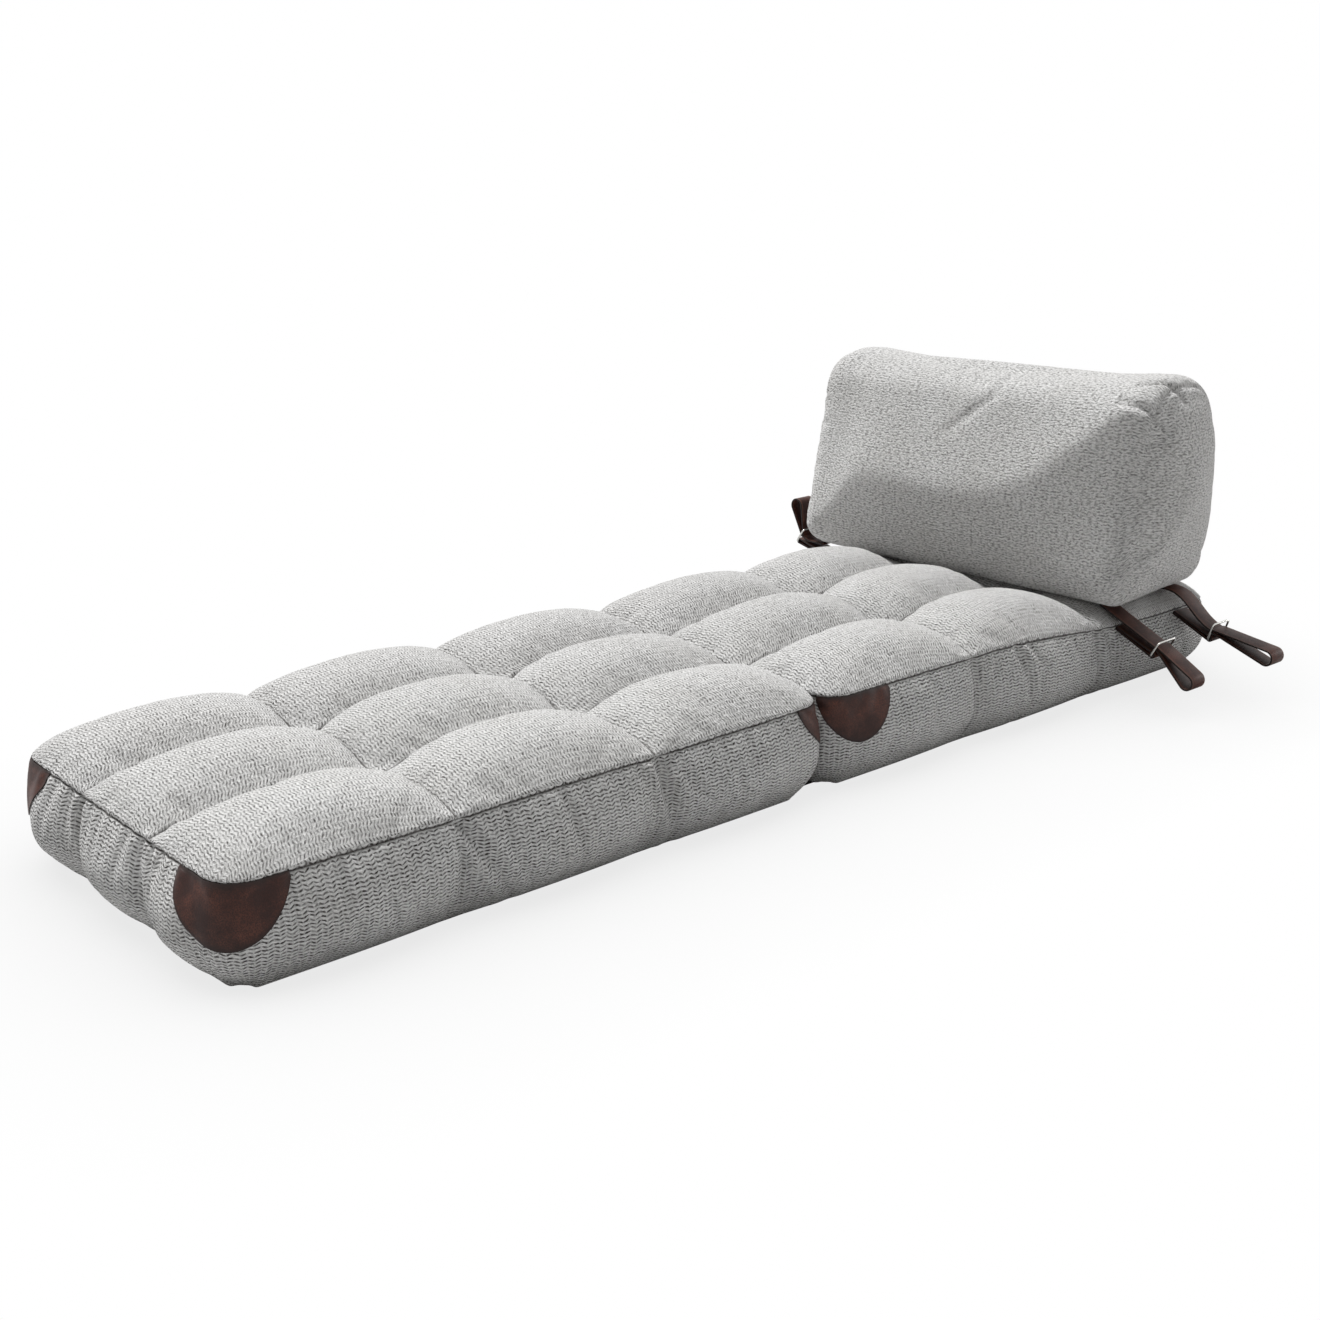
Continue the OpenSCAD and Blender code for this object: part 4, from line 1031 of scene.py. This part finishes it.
def pull_up_leather():
    """Waxed cowhide: brown, lighter where it is rubbed, with a fine grain, dark painted edges and a painted highlight
    along the crease beside each edge.
    """
    made, tree, shader = new_material("pull_up_leather")
    where = add_node(tree, "ShaderNodeTexCoord")
    rubs = add_node(tree, "ShaderNodeTexNoise", {"Vector": where.outputs["Object"], "Scale": 26, "Detail": 4, "Roughness": 0.65})
    speck = add_node(tree, "ShaderNodeTexNoise", {"Vector": where.outputs["Object"], "Scale": 1 / 0.0016, "Detail": 3})
    grain = add_node(tree, "ShaderNodeTexVoronoi", {"Vector": where.outputs["Object"], "Scale": 1 / 0.0019}, feature="F1")
    worn = add_node(tree, "ShaderNodeMapRange", {"Value": rubs.outputs["Fac"], 1: 0.40, 2: 0.68})
    hide = add_node(tree, "ShaderNodeMix", {0: worn.outputs[0], 6: linear("#331812"), 7: linear("#5e3427")}, data_type="RGBA")
    dots = add_node(tree, "ShaderNodeMapRange", {"Value": speck.outputs["Fac"], 1: 0.40, 2: 0.60, 3: 0.70, 4: 0})
    dotted = add_node(tree, "ShaderNodeMix", {0: dots.outputs[0], 6: hide.outputs[2], 7: linear("#22100c")}, data_type="RGBA")
    across = add_node(tree, "ShaderNodeAttribute", attribute_name="across")
    out = add_node(tree, "ShaderNodeMath", {0: across.outputs["Fac"]}, operation="ABSOLUTE")
    # Beside each strap edge runs the crease, which is real; its lighter colour, #7a5443, is a painted highlight
    crease = add_node(tree, "ShaderNodeMapRange", {"Value": out.outputs[0], 1: 0.76, 2: 0.86, 3: 0, 4: 0.35})
    lit = add_node(tree, "ShaderNodeMix", {0: crease.outputs[0], 6: dotted.outputs[2], 7: linear("#7a5443")}, data_type="RGBA")
    rim = add_node(tree, "ShaderNodeAttribute", attribute_name="rim")
    cut = add_node(tree, "ShaderNodeMapRange", {"Value": out.outputs[0], 1: 0.93, 2: 0.97})
    rolled = add_node(tree, "ShaderNodeMapRange", {"Value": rim.outputs["Fac"], 1: 0.30, 2: 0.95, 3: 0, 4: 0.9})
    edge = add_node(tree, "ShaderNodeMath", {0: cut.outputs[0], 1: rolled.outputs[0]}, operation="MAXIMUM")
    painted = add_node(tree, "ShaderNodeMix", {0: edge.outputs[0], 6: lit.outputs[2], 7: linear("#1c0f0c")}, data_type="RGBA")
    tree.links.new(painted.outputs[2], shader.inputs["Base Color"])
    gloss = add_node(tree, "ShaderNodeMapRange", {"Value": rubs.outputs["Fac"], 1: 0.3, 2: 0.7, 3: 0.58, 4: 0.44})
    tree.links.new(gloss.outputs[0], shader.inputs["Roughness"])
    pores = add_node(tree, "ShaderNodeMath", {0: grain.outputs["Distance"], 1: -0.8, 2: speck.outputs["Fac"]}, operation="MULTIPLY_ADD")
    bump = add_node(tree, "ShaderNodeBump", {"Height": pores.outputs[0], "Strength": 0.35, "Distance": 0.0005})
    tree.links.new(bump.outputs[0], shader.inputs["Normal"])
    shader.inputs["IOR"].default_value = 1.5
    shader.inputs["Specular IOR Level"].default_value = 0.3
    return made


def nickel_wire():
    """Nickel-plated steel wire: bright, with faint drawing marks."""
    made, tree, shader = new_material("nickel_wire")
    where = add_node(tree, "ShaderNodeTexCoord")
    marks = add_node(tree, "ShaderNodeTexNoise", {"Vector": where.outputs["Object"], "Scale": 1 / 0.002, "Detail": 2})
    gloss = add_node(tree, "ShaderNodeMapRange", {"Value": marks.outputs["Fac"], 3: 0.14, 4: 0.28})
    tint = add_node(tree, "ShaderNodeMix", {0: marks.outputs["Fac"], 6: linear("#c2c1bd"), 7: linear("#d2d1cd")}, data_type="RGBA")
    tree.links.new(tint.outputs[2], shader.inputs["Base Color"])
    tree.links.new(gloss.outputs[0], shader.inputs["Roughness"])
    shader.inputs["Metallic"].default_value = 1
    return made


def woven_lining():
    """Plain-woven polyester lining: dark, flat and dull, its threads drawn 1.6 mm apart so that they show."""
    made, tree, shader = new_material("woven_lining")
    where = add_node(tree, "ShaderNodeTexCoord")
    threads = [add_node(tree, "ShaderNodeTexWave", {"Vector": where.outputs["Object"], "Scale": 0.31 / 0.0016, "Distortion": 0.3},
                        bands_direction=side) for side in "XY"]
    mesh = add_node(tree, "ShaderNodeMath", {0: threads[0].outputs["Fac"], 1: threads[1].outputs["Fac"]}, operation="MULTIPLY")
    cloudy = add_node(tree, "ShaderNodeTexNoise", {"Vector": where.outputs["Object"], "Scale": 14, "Detail": 3})
    cloth = add_node(tree, "ShaderNodeMix", {0: mesh.outputs[0], 6: linear("#45413e"), 7: linear("#6a6561")}, data_type="RGBA")
    aged = add_node(tree, "ShaderNodeMapRange", {"Value": cloudy.outputs["Fac"], 1: 0.3, 2: 0.7, 3: 0, 4: 0.3})
    tone = add_node(tree, "ShaderNodeMix", {0: aged.outputs[0], 6: cloth.outputs[2], 7: linear("#514c48")}, data_type="RGBA")
    hem = add_node(tree, "ShaderNodeAttribute", attribute_name="hem")
    turned_in = add_node(tree, "ShaderNodeMath", {0: hem.outputs["Fac"], 1: 0.25}, operation="MULTIPLY")
    hemmed = add_node(tree, "ShaderNodeMix", {0: turned_in.outputs[0], 6: tone.outputs[2], 7: linear("#2e2b29")}, data_type="RGBA")
    tree.links.new(hemmed.outputs[2], shader.inputs["Base Color"])
    bump = add_node(tree, "ShaderNodeBump", {"Height": mesh.outputs[0], "Strength": 0.5, "Distance": 0.0004})
    tree.links.new(bump.outputs[0], shader.inputs["Normal"])
    shader.inputs["Roughness"].default_value = 0.9
    return made


def cut_foam():
    """Polyurethane foam, cut with a blade: pale yellow, full of small open pores."""
    made, tree, shader = new_material("cut_foam")
    where = add_node(tree, "ShaderNodeTexCoord")
    pores = add_node(tree, "ShaderNodeTexVoronoi", {"Vector": where.outputs["Object"], "Scale": 1 / 0.0016})
    tone = add_node(tree, "ShaderNodeMapRange", {"Value": pores.outputs["Distance"], 1: 0.1, 2: 0.6})
    foam = add_node(tree, "ShaderNodeMix", {0: tone.outputs[0], 6: linear("#c9bd90"), 7: linear("#ece3b8")}, data_type="RGBA")
    tree.links.new(foam.outputs[2], shader.inputs["Base Color"])
    bump = add_node(tree, "ShaderNodeBump", {"Height": pores.outputs["Distance"], "Strength": 0.6, "Distance": 0.0008})
    tree.links.new(bump.outputs[0], shader.inputs["Normal"])
    shader.inputs["Roughness"].default_value = 0.97
    return made


def twisted_cord():
    """Twisted polyester tuft cord: grey, its strands laid 2 mm apart."""
    made, tree, shader = new_material("twisted_cord")
    where = add_node(tree, "ShaderNodeTexCoord")
    strands = add_node(tree, "ShaderNodeTexWave", {"Vector": where.outputs["Object"], "Scale": 0.31 / 0.002, "Distortion": 0.5},
                       bands_direction="DIAGONAL")
    cord = add_node(tree, "ShaderNodeMix", {0: strands.outputs["Fac"], 6: linear("#6d6964"), 7: linear("#a5a19a")}, data_type="RGBA")
    tree.links.new(cord.outputs[2], shader.inputs["Base Color"])
    bump = add_node(tree, "ShaderNodeBump", {"Height": strands.outputs["Fac"], "Strength": 0.5, "Distance": 0.0006})
    tree.links.new(bump.outputs[0], shader.inputs["Normal"])
    shader.inputs["Roughness"].default_value = 0.8
    return made


FINISHES = {"boucle_cloth": boucle_knit(), "leather": pull_up_leather(), "ring_metal": nickel_wire(),
            "under_cloth": woven_lining(), "foam": cut_foam(), "tie_cord": twisted_cord()}
for piece in (foot_cushion, head_cushion, bolster_cushion, *leather_pieces, *ring_pieces, *foam_pieces, *cord_pieces,
              *under_pieces):
    piece.data.materials.clear()
    piece.data.materials.append(FINISHES[piece["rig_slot"]])
for made in frame["record"]["subparts"]:
    part = frame["nodes"][made["node"]]
    part.data.materials.clear()
    part.data.materials.append(FINISHES[made["material_slot"]])

# ---- the studio ----

def studio_floor():
    """Pale floor that the camera sees only by the shade under the bed."""
    bpy.ops.object.select_all(action="DESELECT")
    bpy.ops.mesh.primitive_plane_add(size=14, location=(0, FOLD_Y, -0.0008))
    floor = bpy.context.object
    floor.name = "floor"
    bpy.ops.object.transform_apply(location=True)
    made = bpy.data.materials.new("white_paper")
    made.use_nodes = True
    tree = made.node_tree
    tree.nodes.clear()
    path = add_node(tree, "ShaderNodeLightPath")
    near = add_node(tree, "ShaderNodeAmbientOcclusion", {"Distance": 0.40}, samples=16)
    shade = add_node(tree, "ShaderNodeMapRange", {"Value": near.outputs["AO"], 1: 0.3, 2: 1.0, 3: 0.22, 4: 0.0})
    clear = add_node(tree, "ShaderNodeBsdfTransparent")
    dark = add_node(tree, "ShaderNodeEmission", {"Color": (0.1, 0.1, 0.1, 1), "Strength": 1})
    seen = add_node(tree, "ShaderNodeMixShader", {0: shade.outputs[0], 1: clear.outputs[0], 2: dark.outputs[0]})
    pale = add_node(tree, "ShaderNodeBsdfDiffuse", {"Color": (0.60, 0.60, 0.60, 1)})
    # Light passes from below, so that the folded bed, which reaches under the floor, isn't in the dark
    side = add_node(tree, "ShaderNodeNewGeometry")
    open_to = add_node(tree, "ShaderNodeMath", {0: path.outputs["Is Shadow Ray"], 1: side.outputs["Backfacing"]}, operation="MAXIMUM")
    passed = add_node(tree, "ShaderNodeMixShader", {0: open_to.outputs[0], 1: pale.outputs[0], 2: clear.outputs[0]})
    mixed = add_node(tree, "ShaderNodeMixShader", {0: path.outputs["Is Camera Ray"], 1: passed.outputs[0], 2: seen.outputs[0]})
    add_node(tree, "ShaderNodeOutputMaterial", {0: mixed.outputs[0]})
    floor.data.materials.append(made)


def studio_world():
    """White round about, and soft light from above the horizon."""
    world = bpy.data.worlds.new("studio")
    bpy.context.scene.world = world
    world.use_nodes = True
    tree = world.node_tree
    tree.nodes.clear()
    path = add_node(tree, "ShaderNodeLightPath")
    where = add_node(tree, "ShaderNodeTexCoord")
    parts = add_node(tree, "ShaderNodeSeparateXYZ", {0: where.outputs["Generated"]})
    power = add_node(tree, "ShaderNodeMapRange", {"Value": parts.outputs[2], 1: -0.1, 2: 0.3, 3: 0.10, 4: 0.38})
    turned_to = add_node(tree, "ShaderNodeMapRange", {"Value": parts.outputs[1], 1: -0.6, 2: 0.2, 3: 0.35, 4: 1.0})
    power = add_node(tree, "ShaderNodeMath", {0: power.outputs[0], 1: turned_to.outputs[0]}, operation="MULTIPLY")
    lower = add_node(tree, "ShaderNodeMapRange", {"Value": parts.outputs[2], 1: -0.3, 2: 0.4})
    tint = add_node(tree, "ShaderNodeMix", {0: lower.outputs[0], 6: (1, 0.84, 0.70, 1), 7: (1, 1, 1, 1)}, data_type="RGBA")
    light = add_node(tree, "ShaderNodeBackground", {"Color": tint.outputs[2], "Strength": power.outputs[0]})
    white = add_node(tree, "ShaderNodeBackground", {"Color": (1, 1, 1, 1), "Strength": 1.0})
    seen = add_node(tree, "ShaderNodeMath", {0: path.outputs["Is Camera Ray"], 1: path.outputs["Is Glossy Ray"]}, operation="MAXIMUM")
    mixed = add_node(tree, "ShaderNodeMixShader", {0: seen.outputs[0], 1: light.outputs[0], 2: white.outputs[0]})
    add_node(tree, "ShaderNodeOutputWorld", {0: mixed.outputs[0]})


def aim(thing, place, target):
    thing.location = place
    thing.rotation_mode = "QUATERNION"
    thing.rotation_quaternion = (Vector(target) - Vector(place)).to_track_quat("-Z", "Y")


def far_lamp(name, source, angle, power):
    """A far soft lamp, so that it lights the whole length alike."""
    data = bpy.data.lights.new(name, "SUN")
    data.angle = math.radians(angle)
    data.energy = power
    lamp = bpy.data.objects.new(name, data)
    bpy.context.scene.collection.objects.link(lamp)
    aim(lamp, source, (0, 0, 0))


def camera():
    data = bpy.data.cameras.new("camera")
    data.sensor_width = 36
    data.lens = 50.13
    made = bpy.data.objects.new("camera", data)
    bpy.context.scene.collection.objects.link(made)
    aim(made, (2.161, -2.442, 1.122), (-0.162, -0.459, 0.1))
    bpy.context.scene.camera = made


studio_floor()
studio_world()
far_lamp("key", (-1.5, -0.20, 2.9), 20, 3.95)
far_lamp("side", (0.9, 3.0, 1.1), 14, 0.5)
camera()
bpy.context.scene.view_settings.view_transform = "Standard"
